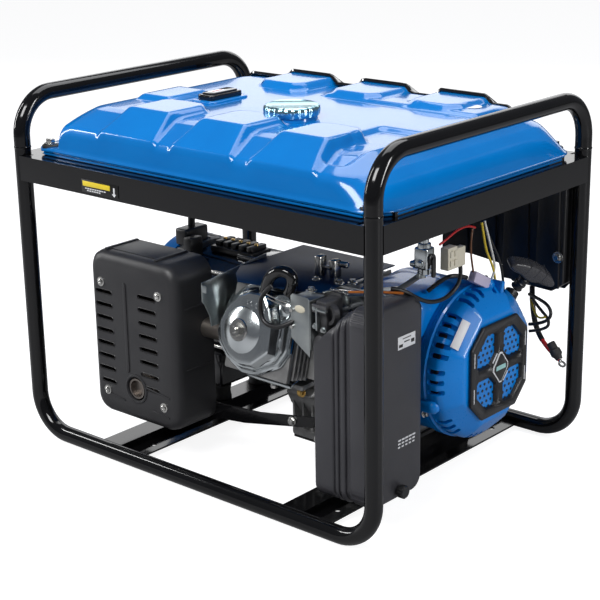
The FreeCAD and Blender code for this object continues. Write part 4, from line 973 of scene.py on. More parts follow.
add_turned(bm, [(0, 0), (0, 8), (12, 7), (14, 5), (14, 0)], (128, -104, 66), (0, -1, 0.2), 28)
place_piece("lower_bolts", bm, BOLT_STEEL)

# ------------------------------------------------------------ air cleaner
CLEAN_LOW, CLEAN_HIGH = node_box("air_cleaner_cover")
CLEAN_MID_Y = (CLEAN_LOW.y + CLEAN_HIGH.y) / 2


def cleaner_slab(bm, left, right, top, low, inset_by, corner, bevel):
    """Upright slab of the case with round corners, seen end on."""
    half_y = (CLEAN_HIGH.y - CLEAN_LOW.y) / 2 - inset_by
    half_z = (top - low) / 2
    outline = rounded_outline(half_y, half_z, corner, 7, (CLEAN_MID_Y, (top + low) / 2))
    return add_prism(bm, outline, "x", left, right, bevel=bevel, segments=3)


bm = bmesh.new()
cleaner_slab(bm, 211, 246, 296, 39, 0, 22, 4)
bmesh.ops.bisect_plane(bm, geom=bm.verts[:] + bm.edges[:] + bm.faces[:], dist=0.001, plane_co=(211, 0, 258),
                       plane_no=Vector((-0.74, 0, 0.67)), clear_outer=True)
bmesh.ops.holes_fill(bm, edges=[e for e in bm.edges if e.is_boundary])
cleaner_slab(bm, 244, 258, 301, 42, 3.2, 20, 2.5)
place_piece("cleaner_base_shell", bm, CLEANER_GREY, replaces=("air_cleaner_base",), sharp=50)
bm = bmesh.new()
cleaner_slab(bm, 249, 254.5, 305, 39, -0.2, 22, 2.2)
cleaner_slab(bm, 257.5, 266, 313, 39, 0.2, 22, 3)
cleaner_slab(bm, 264, 272, 316, 43, 4.2, 20, 2)
cleaner_slab(bm, 269, 310, 324, 41, 0, 22, 9)
place_piece("cleaner_cover_shell", bm, CLEANER_GREY, replaces=("air_cleaner_cover",), sharp=50)
bm = bmesh.new()
add_turned(bm, [(0, 0), (0, 7), (4, 7), (5, 9.5), (12, 9.5), (13.5, 8), (13.5, 0)], (309, -158, 55),
           (1, 0, 0), 36)
for vert in bm.verts:
    off = vert.co - Vector((0, -158, 55))
    reach = math.hypot(off.y, off.z)
    if reach > 8.5:
        pull = 1 - 0.09 * max(0.0, math.cos(9 * math.atan2(off.z, off.y)))
        vert.co.y = -158 + off.y * pull
        vert.co.z = 55 + off.z * pull
place_piece("cleaner_knob_grip", bm, BLACK_PLASTIC, body="cleaner_knob", replaces=("air_cleaner_knob",))
bm = bmesh.new()
add_block(bm, (309.6, -161, 259), (310.5, -123, 277), bevel=0.2)
place_piece("cleaner_label_upper", bm, WHITE_LABEL)
bm = bmesh.new()
for y, z, width, height in ((-155, 264, 8, 4), (-142, 268, 12, 1.6), (-129, 266, 7, 5), (-142, 273, 18, 1.2)):
    add_block(bm, (310.4, y - width / 2, z - height / 2), (310.8, y + width / 2, z + height / 2))
place_piece("cleaner_label_marks", bm, LABEL_BLACK)
bm = bmesh.new()
for row in range(3):
    for step in range(5):
        left = -160 + 8 * step
        add_block(bm, (309.9, left, 127 - 5 * row), (310.5, left + 6.4 - row, 129.2 - 5 * row))
place_piece("cleaner_label_lower", bm, WHITE_LABEL)

# ------------------------------------------------------------ blower housing and starter cover
bm = bmesh.new()
add_turned(bm, [(150, 30), (150, 108), (154, 112), (270, 112), (273, 114.5), (279, 114.5), (279, 109),
                (262, 109),
                (153, 106)], SHAFT, (1, 0, 0), 112)
add_block(bm, (152, -70, 222), (272, 52, 299), bevel=24, segments=6)
place_piece("housing_skin", bm, CASE_BLUE, replaces=("blower_housing",), sharp=38)


def octagon_share(angle):
    """How much further than its flats an octagon reaches at an angle."""
    step = math.tau / 8
    return 1 / math.cos((angle + step / 2) % step - step / 2)


bm = bmesh.new()
add_turned(bm, [(279.5, 109), (279.5, 114.5), (285, 114.5), (287, 112), (301, 112), (306, 110.5), (312, 104),
                (322, 90.5), (327, 83), (329.5, 79.5), (330, 76), (330, 0)], SHAFT, (1, 0, 0), 128)
for vert in bm.verts:
    off = vert.co - SHAFT
    reach = math.hypot(off.y, off.z)
    blend = ease(off.x, 300, 326)
    if reach > 60 and blend > 0:
        factor = 1 + blend * (octagon_share(math.atan2(off.z, off.y)) - 1)
        vert.co.y = SHAFT.y + off.y * factor
        vert.co.z = SHAFT.z + off.z * factor
starter = place_piece("starter_cover_skin", bm, CASE_BLUE, replaces=("recoil_cover",), sharp=42)
VENT_ANGLES = [128, 136, 144, 152, 160, 172, 180, 188, 216, 224, 232, 250, 258, 266, 284, 292, 300, 316,
               324, 332,
               348, 356, 4, 20, 27, 34, 66, 73, 80, 96, 104, 112]
cutter = bmesh.new()
for angle in VENT_ANGLES:
    turn = Matrix.Rotation(math.radians(angle), 4, "X")
    middle = SHAFT + turn @ Vector((303, 112, 0))
    add_block(cutter, middle - Vector((13.5, 9, 3.7)), middle + Vector((13.5, 9, 3.7)), bevel=2.0, turn=turn)
cut_away(starter, cutter, "vent_cutter")
bm = bmesh.new()
add_turned(bm, [(286, 0), (286, 105), (300, 105), (308, 98), (318, 84), (318, 0)], SHAFT, (1, 0, 0), 64)
place_piece("starter_inner_dark", bm, BLACK_PLASTIC)
bm = bmesh.new()
for angle in (78, 200, 320):
    turn = Matrix.Rotation(math.radians(angle), 4, "X")
    spot = SHAFT + turn @ Vector((279, 112, 0))
    add_turned(bm, [(0, 0), (0, 11), (16, 11), (21, 9.5), (26, 5), (27, 0)], spot, (1, 0, 0), 32)
place_piece("starter_bosses", bm, CASE_BLUE, sharp=50)
bm = bmesh.new()
for angle in (70, 206, 312):
    turn = Matrix.Rotation(math.radians(angle), 4, "X")
    add_hex_bolt(bm, SHAFT + turn @ Vector((280, 117, 0)), (1, 0, 0), 8, 5, washer=7)
place_piece("starter_bolts", bm, BOLT_STEEL)


def on_chamfer(angle, along, out):
    """Frame on the cover's sloping band: across, along the slope and outward."""
    radial = Matrix.Rotation(math.radians(angle), 4, "X") @ Vector((0, 1, 0))
    normal = (radial * 0.62 + Vector((0.78, 0, 0))).normalized()
    across = Vector((1, 0, 0)).cross(radial).normalized()
    slope = normal.cross(across).normalized()
    spot = SHAFT + radial * out + Vector((along, 0, 0))
    return Matrix(((across.x, slope.x, normal.x, spot.x), (across.y, slope.y, normal.y, spot.y),
                   (across.z, slope.z, normal.z, spot.z), (0, 0, 0, 1)))


bm = bmesh.new()
add_block(bm, (-22, -6.5, 0.2), (22, 6.5, 0.9), bevel=0.3)
bmesh.ops.transform(bm, matrix=on_chamfer(139, 318.5, 99.5), verts=bm.verts[:])
place_piece("starter_strip", bm, WHITE_LABEL)

GRILLE_LOW, GRILLE_HIGH = node_box("recoil_grille")
FACE_X = GRILLE_LOW.x
# Black discs on the grille stand in for its holes: painted shade of the hole openings, not cut holes.
bm = bmesh.new()
for row in range(-6, 7):
    for step in range(-6, 7):
        y = step * 10.4 + (5.2 if row % 2 else 0)
        z = row * 9
        if abs(y) > 8 and abs(z) > 8 and abs(y) + abs(z) < 92 and max(abs(y), abs(z)) < 58:
            add_drum(bm, SHAFT + Vector((FACE_X - SHAFT.x + 0.15, y, z)), (1, 0, 0), 2.2, 0.35, 16)
place_piece("grille_hole_painted_shade", bm, LABEL_BLACK)
bm = bmesh.new()
CUT = 42
octagon = [(70, -CUT), (70, CUT), (CUT, 70), (-CUT, 70), (-70, CUT), (-70, -CUT), (-CUT, -70), (CUT, -70)]
add_prism(bm, [(SHAFT.y + u, SHAFT.z + v) for u, v in octagon], "x", FACE_X, GRILLE_HIGH.x, bevel=1.8,
          segments=3)
bezel = place_piece("grille_bezel", bm, BLACK_PLASTIC, replaces=("recoil_grille",))
cutter = bmesh.new()
WINDOW = [(8, 23), (23, 8), (53, 8), (57, 12), (57, 32), (33, 56), (12, 56), (8, 52)]
for su in (1, -1):
    for sv in (1, -1):
        add_prism(cutter, [(SHAFT.y + su * u, SHAFT.z + sv * v) for u, v in WINDOW], "x", FACE_X - 3,
                  FACE_X + 12)
cut_away(bezel, cutter, "window_cutter")
bm = bmesh.new()
for su in (1, -1):
    for sv in (1, -1):
        outer = [(su * u, sv * v) for u, v in WINDOW]
        mid = Vector((su * 33, sv * 33))
        inner = [mid + (Vector(point) - mid) * 0.93 for point in outer]
        add_skin(bm, [[(FACE_X + depth, SHAFT.y + point[0], SHAFT.z + point[1]) for point in ring]
                      for ring, depth in ((outer, 5), (inner, 0.6))])
place_piece("grille_window_walls", bm, BLACK_PLASTIC)
bm = bmesh.new()
for su, sv in ((-1, 1), (-1, -1), (1, 1), (1, -1)):
    slim = [(su * 63, sv * 16), (su * 64.5, sv * 16), (su * 64.5, sv * 38), (su * 63, sv * 37)]
    add_prism(bm, [(SHAFT.y + u, SHAFT.z + v) for u, v in slim], "x", FACE_X + 4.8, FACE_X + 5.4)
    slant = [(su * 9, sv * 27), (su * 22, sv * 12.5), (su * 24, sv * 14), (su * 11, sv * 28.5)]
    if su * sv < 0:
        add_prism(bm, [(SHAFT.y + u * 0.82, SHAFT.z + v * 0.82) for u, v in slant], "x", FACE_X + 4.8,
                  FACE_X + 5.4)
place_piece("grille_lines", bm, WHITE_LABEL)


def diamond(size_u, size_v):
    """Diamond outline about the shaft, with its tips cut."""
    tip = 0.14
    return [(SHAFT.y + u * size_u, SHAFT.z + v * size_v) for u, v in
            ((1, tip), (tip, 1), (-tip, 1), (-1, tip), (-1, -tip), (-tip, -1), (tip, -1), (1, -tip))]


for name, material, size, depth in (("badge_rim", WHITE_LABEL, (18.5, 23), 6.3),
                                    ("badge_field", LABEL_BLACK, (16.4, 20.7), 6.6)):
    bm = bmesh.new()
    add_prism(bm, diamond(*size), "x", FACE_X + 4.6, FACE_X + depth, bevel=0.15)
    place_piece(name, bm, material)
bm = bmesh.new()
add_prism(bm, [(SHAFT.y - 12, SHAFT.z - 3), (SHAFT.y + 12, SHAFT.z - 3), (SHAFT.y + 11, SHAFT.z + 3.5),
               (SHAFT.y - 11, SHAFT.z + 3.5)], "x", FACE_X + 6.4, FACE_X + 6.9)
place_piece("badge_band", bm, finish("badge_pale_green", (0.35, 0.62, 0.6), (0.3, 0.55, 0.54), (0.3, 0.4)))

# ------------------------------------------------------------ pull handle, guide and rope
PULL = Vector((0.6, 0.2, 0.775)).normalized()
BAR = Vector((28.7, 66.3, -39.6)).normalized()
BAR = (BAR - PULL * BAR.dot(PULL)).normalized()
SIDE = PULL.cross(BAR)
HANDLE_SPOT = Vector((310, 154, 290))
HANDLE_TURN = Matrix(((BAR.x, SIDE.x, PULL.x, HANDLE_SPOT.x), (BAR.y, SIDE.y, PULL.y, HANDLE_SPOT.y),
                      (BAR.z, SIDE.z, PULL.z, HANDLE_SPOT.z), (0, 0, 0, 1)))
bm = bmesh.new()
add_prism(bm, [(-43, 1), (-44, 6), (-38, 11), (-24, 16), (-10, 18.5), (6, 18.5), (20, 17), (34, 13),
               (44, 7), (43, 1),
               (34, -2), (16, -3), (9, -6), (-9, -6), (-16, -3), (-34, -2)], "y", -11, 11, bevel=3.5,
               segments=3)
for along in (-13, 4, 19):
    add_block(bm, (along - 0.8, -11.4, 3), (along + 0.8, 11.4, 18.6), bevel=0.4)
bmesh.ops.transform(bm, matrix=HANDLE_TURN, verts=bm.verts[:])
place_piece("handle_grip", bm, finish("handle_grey", (0.05, 0.05, 0.055), (0.035, 0.035, 0.04), (0.22, 0.32)),
            body="starter_grip", replaces=("pull_handle",), sharp=50)
bm = bmesh.new()
add_turned(bm, [(-30, 3), (-30, 8.4), (-28, 9.4), (-26, 8.2), (-22, 8.2), (-21, 9.2), (-18, 9.2), (-17, 8),
                (-13, 8),
                (-12, 9), (-9, 9), (-8, 8), (-2, 9.5), (-2, 3), (-30, 3)], None, None, 32, matrix=HANDLE_TURN)
place_piece("handle_stem", bm, BLACK_PLASTIC, body="starter_grip")
bm = bmesh.new()
GUIDE_SPOT = Vector((288, 45, 182))
GUIDE_WAY = Vector((0, 101, 80)).normalized()
add_turned(bm, [(108, 6), (108, 12), (118, 11), (122, 10.5), (127, 10.5), (128, 9), (128, 7), (120, 6),
                (108, 6)],
           GUIDE_SPOT, GUIDE_WAY, 36)
place_piece("rope_guide_collar", bm, BLACK_PLASTIC)
bm = bmesh.new()
bmesh.ops.create_cone(bm, cap_ends=True, segments=14, radius1=2, radius2=2, depth=15)
lengthwise = [e for e in bm.edges if abs(e.verts[0].co.z - e.verts[1].co.z) > 10]
bmesh.ops.subdivide_edges(bm, edges=lengthwise, cuts=60)
bmesh.ops.translate(bm, vec=(0, 0, -34.5), verts=bm.verts[:])
bmesh.ops.transform(bm, matrix=HANDLE_TURN, verts=bm.verts[:])
rope_piece = place_piece("rope_run", bm, BLACK_LEAD, body=None, replaces=("starter_rope",))
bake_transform(rope_piece)

# ------------------------------------------------------------ crankcase skin, ribs and bolts
bm = bmesh.new()
case_side = [(-30, 54), (118, 54), (131, 70), (131, 232), (112, 262), (60, 267), (10, 267), (-34, 240),
             (-36, 90)]
add_prism(bm, case_side, "x", 10, 152, bevel=9, segments=4)
flat_ends = [face for face in bm.faces if abs(face.normal.x) > 0.999 or face.calc_center_median().y < -20]
bmesh.ops.delete(bm, geom=flat_ends, context="FACES")
place_piece("crankcase_skin", bm, CAST, sharp=50)
bm = bmesh.new()
cover_side = [(-24, 62), (112, 62), (126, 76), (126, 226), (108, 255), (58, 261), (12, 261), (-30, 236),
              (-31, 92)]
add_prism(bm, cover_side, "x", 3, 13, bevel=3, segments=3)
case_cover = place_piece("case_cover_skin", bm, CAST, replaces=("crankcase_cover",), sharp=45)
cutter = bmesh.new()
add_drum(cutter, (0, 45, 182), (1, 0, 0), 30, 20, 64)
cut_away(case_cover, cutter, "shaft_hole_cutter")
bm = bmesh.new()
for along in (30, 54, 78, 102, 126):
    add_block(bm, (along - 2, 129, 112), (along + 2, 134, 236), bevel=1.4)
for height in (150, 196):
    add_block(bm, (22, 129, height - 2), (140, 133.4, height + 2), bevel=1.4)
for along in (36, 66, 96, 126):
    add_block(bm, (along - 1.8, 16, 264), (along + 1.8, 100, 270), bevel=1.2)
add_block(bm, (64, -90, 52.6), (210, 180, 66), bevel=5, segments=3)
add_turned(bm, [(0, 0), (0, 17), (8, 16), (10, 14), (10, 0)], (60, 122, 100), (0, 1, 0), 40)
add_turned(bm, [(0, 0), (0, 14), (5, 13), (6, 11), (6, 0)], (112, 130, 214), (0, 1, 0), 40)
place_piece("crankcase_ribs", bm, CAST, sharp=45)
bm = bmesh.new()
for u, v in ((-20, 70), (45, 70), (110, 74), (118, 150), (116, 222), (70, 252), (14, 252), (-22, 228),
             (-24, 150)):
    add_hex_bolt(bm, (3.2, u, v), (-1, 0, 0), 10, 6, washer=7.5)
add_hex_bolt(bm, (112, 136, 214), (0, 1, 0), 12, 6, washer=9)
add_hex_bolt(bm, (108, 131, 76), (0, 1, 0), 14, 7, washer=10)
for x, y in ((84, -76), (188, -76), (84, 166), (188, 166)):
    add_hex_bolt(bm, (x, y, 66), (0, 0, 1), 12, 7, washer=10)
place_piece("crankcase_bolts", bm, BOLT_STEEL)

# ------------------------------------------------------------ fuel valve, lever and hose
bm = bmesh.new()
VX, VY = 285, -70
add_turned(bm, [(405, 0), (405, 8), (402, 9), (400, 8.5), (396, 8.5), (395, 6.5), (384, 6.5), (383, 9),
                (379, 9.5),
                (377, 9.5), (377, 0)], (VX, VY, 0), (0, 0, 1), 36)
add_block(bm, (274, -80, 347), (296, -60, 378), bevel=3, segments=3)
add_turned(bm, [(0, 0), (0, 9), (8, 9), (9, 7.5), (9, 0)], (VX, VY, 348), (0, 0, -1), 32)
add_turned(bm, [(0, 0), (0, 6), (9, 6), (10, 4.8), (14, 4.4), (14, 0)], (VX - 8, VY, 352), (-1, 0, -0.15), 28)
add_hex_bolt(bm, (VX, -80, 356), (0, -1, 0), 8, 3, washer=6)
place_piece("fuel_valve_casting", bm, PRESSED_STEEL, replaces=("fuel_valve",))
bm = bmesh.new()
add_turned(bm, [(0, 0), (0, 8), (3, 8), (4, 6.5), (4, 0)], (296, -70, 362), (1, 0, 0), 32)
add_prism(bm, rounded_outline(4, 14, 3.6, 5, (-70, 351)), "x", 299, 302.5, bevel=0.8)
place_piece("fuel_valve_handle", bm, BLACK_PLASTIC, body="valve_lever", replaces=("fuel_valve_lever",))

bm = bmesh.new()
add_turned(bm, [(-4, 5.2), (-4, 5.9), (4, 5.9), (4, 5.2), (-4, 5.2)], (282, -72, 338), (0, 0, 1), 28)
add_block(bm, (279, -81, 335), (285, -76.5, 341), bevel=0.8)
hose_clip = place_piece("fuel_hose_clip", bm, ZINC)
fuel_hose = flexible("fuel_hose_run", [(285, -70, 342), (255, -88, 312), (222, -125, 299),
                                       (199, -146, 290)], 4.0,
                     GREY_HOSE)
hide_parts("fuel_hose")

# ------------------------------------------------------------ battery lead with its boot and ring
bm = bmesh.new()
LEAD_END = Vector((340, 200, 149))
LEAD_WAY = Vector((0.45, -0.06, -0.55)).normalized()
add_turned(bm, [(-28, 0), (-28, 5.4), (-26, 6.6), (-17, 6.6), (-15, 8.6), (-7, 8.8), (-4, 6.4), (1, 5.2),
                (1, 0)],
           LEAD_END - LEAD_WAY * 2, LEAD_WAY, 28)
boot = place_piece("battery_lead_boot", bm, RUBBER)
RING_TURN = Matrix.Translation(LEAD_END + LEAD_WAY * 7) @ upright((0.5, -0.2, 0.8))
bm = bmesh.new()
add_turned(bm, [(-0.8, 3.2), (-0.8, 6.2), (0.8, 6.2), (0.8, 3.2), (-0.8, 3.2)], None, None, 36,
           matrix=RING_TURN)
add_turned(bm, [(0, 0), (0, 2.6), (6, 2.6), (6, 0)], LEAD_END - LEAD_WAY * 3, LEAD_WAY, 20)
ring = place_piece("battery_lead_ring", bm, BOLT_STEEL)
battery_lead = flexible("battery_lead_run",
                        [(262, 240, 241), (268, 232, 212), (290, 212, 182), (318, 202, 160),
                                             (340, 200, 149)], 3.5, RED_LEAD)
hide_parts("battery_lead")
sleeve = flexible("battery_lead_sleeve",
                  [(262, 240, 241), (268, 232, 212), (290, 212, 182), (304, 207, 171)], 4.2,
                  BLACK_LEAD)

# ------------------------------------------------------------ loom under the tank
LOOM = (
    ("red_loom_wire", 1.7, RED_LEAD, [(300, 28, 386), (302, 10, 394), (300, -16, 392), (300, -40, 384),
                                      (298, -53, 379)]),
    ("brown_loom_wire", 1.5, BROWN_LEAD, [(300, 22, 386), (303, 14, 372), (302, 16, 352), (300, 22, 336),
                                          (298, 29, 319)]),
    ("yellow_loom_wire", 1.7, YELLOW_LEAD,
     [(300, 44, 390), (303, 46, 368), (302, 54, 346), (300, 70, 326), (298, 84, 302), (296, 92, 268)]),
    ("white_loom_wire", 1.7, WHITE_LEAD, [(298, 54, 390), (301, 60, 366), (302, 70, 338), (300, 80, 318),
                                          (298, 79, 302), (294, 71, 288)]),
    ("black_loom_wire", 2.0, BLACK_LEAD, [(296, 50, 390), (299, 66, 362), (300, 88, 330), (298, 104, 300),
                                          (296, 110, 270)]),
    ("black_cable_loop", 3.0, BLACK_LEAD,
     [(300, -10, 352), (302, -2, 322), (300, -28, 300), (300, -70, 300), (300, -106, 316), (296, -128, 332),
      (284, -142, 336)]),
    ("lilac_wire_tail", 1.6, WHITE_LEAD, [(298, 63, 296), (300, 82, 286), (300, 100, 268), (298, 116, 256)]),
    ("starter_cable", 3.2, BLACK_LEAD, [(262, -30, 300), (276, -20, 316), (286, 0, 322), (290, 24, 312)]),
    ("black_hook_loop", 2.6, BLACK_LEAD, [(266, 226, 232), (286, 214, 234), (318, 200, 231),
                                          (326, 196, 216), (312, 192, 203), (290, 190, 198)]),
    ("black_hook_loop_low", 2.4, BLACK_LEAD,
     [(276, 222, 226), (296, 206, 222), (322, 198, 208), (318, 194, 194), (292, 188, 188)]),
    ("yellow_hook_wire", 1.6, YELLOW_LEAD,
     [(270, 224, 224), (288, 206, 214), (304, 196, 207), (316, 194, 214)]),
)
for name, radius, material, points in LOOM:
    flexible(name, points, radius, material)
bm = bmesh.new()
add_block(bm, (294, -46, 341), (308, -24, 373), bevel=1.5)
add_block(bm, (296, -26, 340), (306, -2, 368), bevel=1.5)
for row in range(2):
    for column in range(2):
        add_block(bm, (307, -42 + 10 * column, 346 + 13 * row), (309.5, -35 + 10 * column, 355 + 13 * row),
                  bevel=0.8)
place_piece("cream_connector_block", bm, CREAM)
bm = bmesh.new()
add_block(bm, (293, 22, 298), (305, 64, 314), bevel=2, turn=Matrix.Rotation(math.radians(-28), 4, "X"))
place_piece("lilac_connector_block", bm, LILAC)

# ------------------------------------------------------------ control box with folded ribs
BOX_OUTLINE = [(100, 275), (156, 276), (213, 270), (233, 246), (304, 243.4), (324, 258), (324, 417),
               (100, 417)]
bm = bmesh.new()
add_prism(bm, BOX_OUTLINE, "y", 227, 255.8, bevel=2.0, segments=3)
for left, right in ((108, 152), (160, 204), (216, 264), (276, 318)):
    low = 280 if right < 215 else 250
    add_prism(bm, [(left, low), (right, low), (right - 3, 414), (left + 3, 414)], "y", 223.4, 229, bevel=1.6)
place_piece("control_box_shell", bm, BLACK_PLASTIC, replaces=("control_box",))
bm = bmesh.new()
add_hex_bolt(bm, (316, 223.6, 300), (0, -1, 0), 11, 4, washer=9)
place_piece("control_box_screws", bm, BOLT_STEEL)

# ------------------------------------------------------------ panel side
FACE_Y = node_box("control_panel")[1].y
bm = bmesh.new()
for spot in ((108, 409), (316, 409), (316, 262), (108, 285)):
    add_turned(bm, [(0, 0), (0, 4.2), (1.6, 3.6), (2.2, 0)], (spot[0], FACE_Y - 0.2, spot[1]), (0, 1, 0), 24)
place_piece("panel_screws", bm, BOLT_STEEL)
bm = bmesh.new()
add_prism(bm, rounded_outline(20, 16, 3, 4, (140, 386)), "y", FACE_Y - 1, FACE_Y + 3.4, bevel=0.8)
place_piece("voltmeter_frame", bm, GLOSS_PLASTIC)
bm = bmesh.new()
add_prism(bm, rounded_outline(16, 12, 2, 4, (140, 386)), "y", FACE_Y + 3.2, FACE_Y + 3.8)
place_piece("voltmeter_face", bm, WHITE_LABEL)
bm = bmesh.new()
for step in range(9):
    angle = math.radians(150 - 15 * step)
    spot = Vector((140 + 12 * math.cos(angle), 0, 380 + 12 * math.sin(angle)))
    add_block(bm, (spot.x - 0.4, FACE_Y + 3.7, spot.z - 1.4), (spot.x + 0.4, FACE_Y + 4.1, spot.z + 1.4),
              turn=Matrix.Rotation(math.pi / 2 - angle, 4, "Y"))
add_block(bm, (139.4, FACE_Y + 3.9, 378), (140.2, FACE_Y + 4.3, 391),
          turn=Matrix.Rotation(math.radians(-24), 4, "Y"))
place_piece("voltmeter_marks", bm, LABEL_BLACK)
bm = bmesh.new()
for x in (205, 235):
    add_turned(bm, [(-1, 0), (-1, 8), (2, 8), (3, 6.5), (9, 6), (10, 5), (10, 0)], (x, FACE_Y, 300),
               (0, 1, 0), 28)
place_piece("dc_posts", bm, finish("post_red", (0.5, 0.01, 0.01), (0.44, 0.01, 0.01), (0.3, 0.4)))
bm = bmesh.new()
add_hex_bolt(bm, (264, FACE_Y, 284), (0, 1, 0), 11, 5, washer=9)
add_turned(bm, [(6, 0), (6, 2.6), (14, 2.6), (14, 0)], (264, FACE_Y, 284), (0, 1, 0), 20)
place_piece("earth_terminal", bm, BRASS)

SWITCH_LOW, SWITCH_HIGH = node_box("engine_switch")
SWITCH_MID = (SWITCH_LOW + SWITCH_HIGH) / 2
bm = bmesh.new()
frame_ring = rounded_outline(15, 20, 3, 4, (SWITCH_MID.x, SWITCH_MID.z))
add_prism(bm, frame_ring, "y", FACE_Y - 1, FACE_Y + 1.6, bevel=0.5)
switch_frame = place_piece("switch_frame", bm, GLOSS_PLASTIC)
cutter = bmesh.new()
add_block(cutter, (SWITCH_LOW.x - 1, FACE_Y - 4, SWITCH_LOW.z - 3),
          (SWITCH_HIGH.x + 1, FACE_Y + 4, SWITCH_HIGH.z + 3))
cut_away(switch_frame, cutter, "switch_cutter")
bm = bmesh.new()
add_prism(bm, [(252.2, SWITCH_LOW.z), (257.2, SWITCH_LOW.z), (255.4, SWITCH_MID.z), (256.4, SWITCH_HIGH.z),
               (252.2, SWITCH_HIGH.z)], "x", SWITCH_LOW.x, SWITCH_HIGH.x, bevel=0.6)
place_piece("switch_rocker", bm, finish("rocker_red", (0.42, 0.01, 0.01), (0.36, 0.01, 0.01), (0.2, 0.3)),
            body="rocker", replaces=("engine_switch",))
bm = bmesh.new()
add_block(bm, (SWITCH_MID.x - 0.6, 256.2, SWITCH_LOW.z + 4), (SWITCH_MID.x + 0.6, 257.3, SWITCH_LOW.z + 10))
place_piece("switch_mark", bm, WHITE_LABEL, body="rocker")

BUTTON_LOW, BUTTON_HIGH = node_box("breaker")
BUTTON_MID = (BUTTON_LOW + BUTTON_HIGH) / 2
bm = bmesh.new()
add_prism(bm, rounded_outline(9, 14.5, 3, 5, (BUTTON_MID.x, BUTTON_MID.z)), "y", 252, 256, bevel=0.5)
place_piece("breaker_button_cap", bm, BLACK_PLASTIC, body="breaker_button", replaces=("breaker",))
bm = bmesh.new()
add_prism(bm, rounded_outline(5, 8, 2, 4, (BUTTON_MID.x, BUTTON_MID.z)), "y", 255.6, 256.6, bevel=0.3)
place_piece("breaker_button_pad", bm, WHITE_LABEL, body="breaker_button")

LID_LOW, LID_HIGH = node_box("socket_lid")
LID_MID = (LID_LOW + LID_HIGH) / 2
bm = bmesh.new()
add_prism(bm, rounded_outline(25, 25, 6, 6, (LID_MID.x, LID_MID.z)), "y", LID_LOW.y, LID_LOW.y + 1.6,
          bevel=0.6)
add_turned(bm, [(0, 14), (0, 17), (1.0, 17), (1.4, 15.5), (1.0, 14), (0, 14)],
           (LID_MID.x, LID_LOW.y + 1.4, LID_MID.z),
           (0, 1, 0), 48)
place_piece("socket_lid_shell", bm, finish("lid_blue", (0.0, 0.09, 0.35), (0.0, 0.08, 0.3), (0.3, 0.4)),
            body="lid",
            replaces=("socket_lid",))
bm = bmesh.new()
add_turned(bm, [(-1, 0), (-1, 22), (1.6, 22), (2.6, 20), (2.6, 17), (0.6, 16), (0.6, 0)], (200, FACE_Y, 352),
           (0, 1, 0), 48)
place_piece("second_socket", bm, GLOSS_PLASTIC)

# ------------------------------------------------------------ mounts, bolts of the base and dipstick
MOUNT_SPOTS = ((-178, 0), (-178, 90), (191, -60), (191, 150))
bm = bmesh.new()
for x, y in MOUNT_SPOTS:
    add_turned(bm, [(24.2, 0), (24.2, 16.6), (26, 17), (31, 15.8), (36, 15.2), (41, 15.8), (46, 17),
                    (47.8, 16.6),
                    (47.8, 0)], (x, y, 0), (0, 0, 1), 40)
place_piece("rubber_mount_set", bm, RUBBER, replaces=("rubber_mounts",))
bm = bmesh.new()
for x, y in MOUNT_SPOTS:
    add_hex_bolt(bm, (x, y, 53.2 if x > 0 else 50), (0, 0, 1), 13, 6, washer=10)
    add_hex_bolt(bm, (x, y, 10), (0, 0, -1), 13, 5, washer=10)
place_piece("mount_bolts", bm, BOLT_STEEL)
bm = bmesh.new()
DIP = Vector((60, 128, 100))
add_turned(bm, [(0, 0), (0, 10), (4, 10), (5, 11), (12, 11), (14, 9.5), (14, 0)], DIP, (0, 1, 0), 40)
add_block(bm, DIP + Vector((-9, 13, -2)), DIP + Vector((9, 16.5, 2)), bevel=1)
place_piece("dipstick_grip", bm, BLACK_PLASTIC, body="dipstick", replaces=("oil_dipstick",))
bm = bmesh.new()
add_hex_bolt(bm, (100, -138.4, 97), (0, -1, 0), 9, 4, washer=7)
add_hex_bolt(bm, (-70, -138.4, 72), (0, -1, 0), 9, 4, washer=7)
place_piece("stay_bolts", bm, BOLT_STEEL)

# ------------------------------------------------------------ finishes of the carried-over nodes
NODE_FINISH = {
    BLACK_PAINT: ("frame_front_tube", "frame_rear_tube", "carry_handle_left", "carry_handle_right",
                  "top_bar_front",
                  "top_bar_rear", "top_bar_left", "top_bar_right", "cross_beam_left", "cross_beam_right",
                  "engine_base", "muffler_stay", "alternator_adapter"),
    RUBBER: ("rubber_mounts", "tank_cushions", "plug_cap"),
    TANK_BLUE: ("fuel_tank",),
    CASE_BLUE: ("blower_housing", "recoil_cover", "end_cover", "grille_mesh"),
    # Dark navy on the shroud node is painted shade, as on the shroud sheet.
    SHROUD_SHADE_BLUE: ("cylinder_shroud",),
    GUARD_GREY: ("muffler_shield",),
    GLOSS_SHELL: ("alternator_shell",),
    MUFFLER_STEEL: ("muffler_body", "exhaust_pipe"),
    CAST: ("crankcase", "crankcase_cover", "cylinder_head", "end_bell", "flywheel", "piston"),
    DARK_CAST: ("carburettor",),
    PRESSED_STEEL: ("valve_cover", "crankshaft", "connecting_rod", "stator", "rotor", "fuel_valve"),
    ZINC: ("baffle_plate", "control_bracket", "choke_lever"),
    BLACK_PLASTIC: ("recoil_grille", "recoil_reel", "pull_handle", "control_box", "control_panel",
                    "engine_switch",
                    "breaker", "socket_lid", "oil_dipstick", "fuel_valve_lever"),
    GLOSS_PLASTIC: ("fuel_gauge",),
    CLEANER_GREY: ("air_cleaner_base", "air_cleaner_cover", "air_cleaner_knob"),
    CHROME_BLUE_REFLECTION: ("fuel_cap",),
    GREY_HOSE: ("fuel_hose",),
    RED_LEAD: ("battery_lead",),
    BLACK_LEAD: ("starter_rope",),
}
for material, names in NODE_FINISH.items():
    for node_name in names:
        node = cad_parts[node_name]
        for place in node.material_slots:
            place.material = material

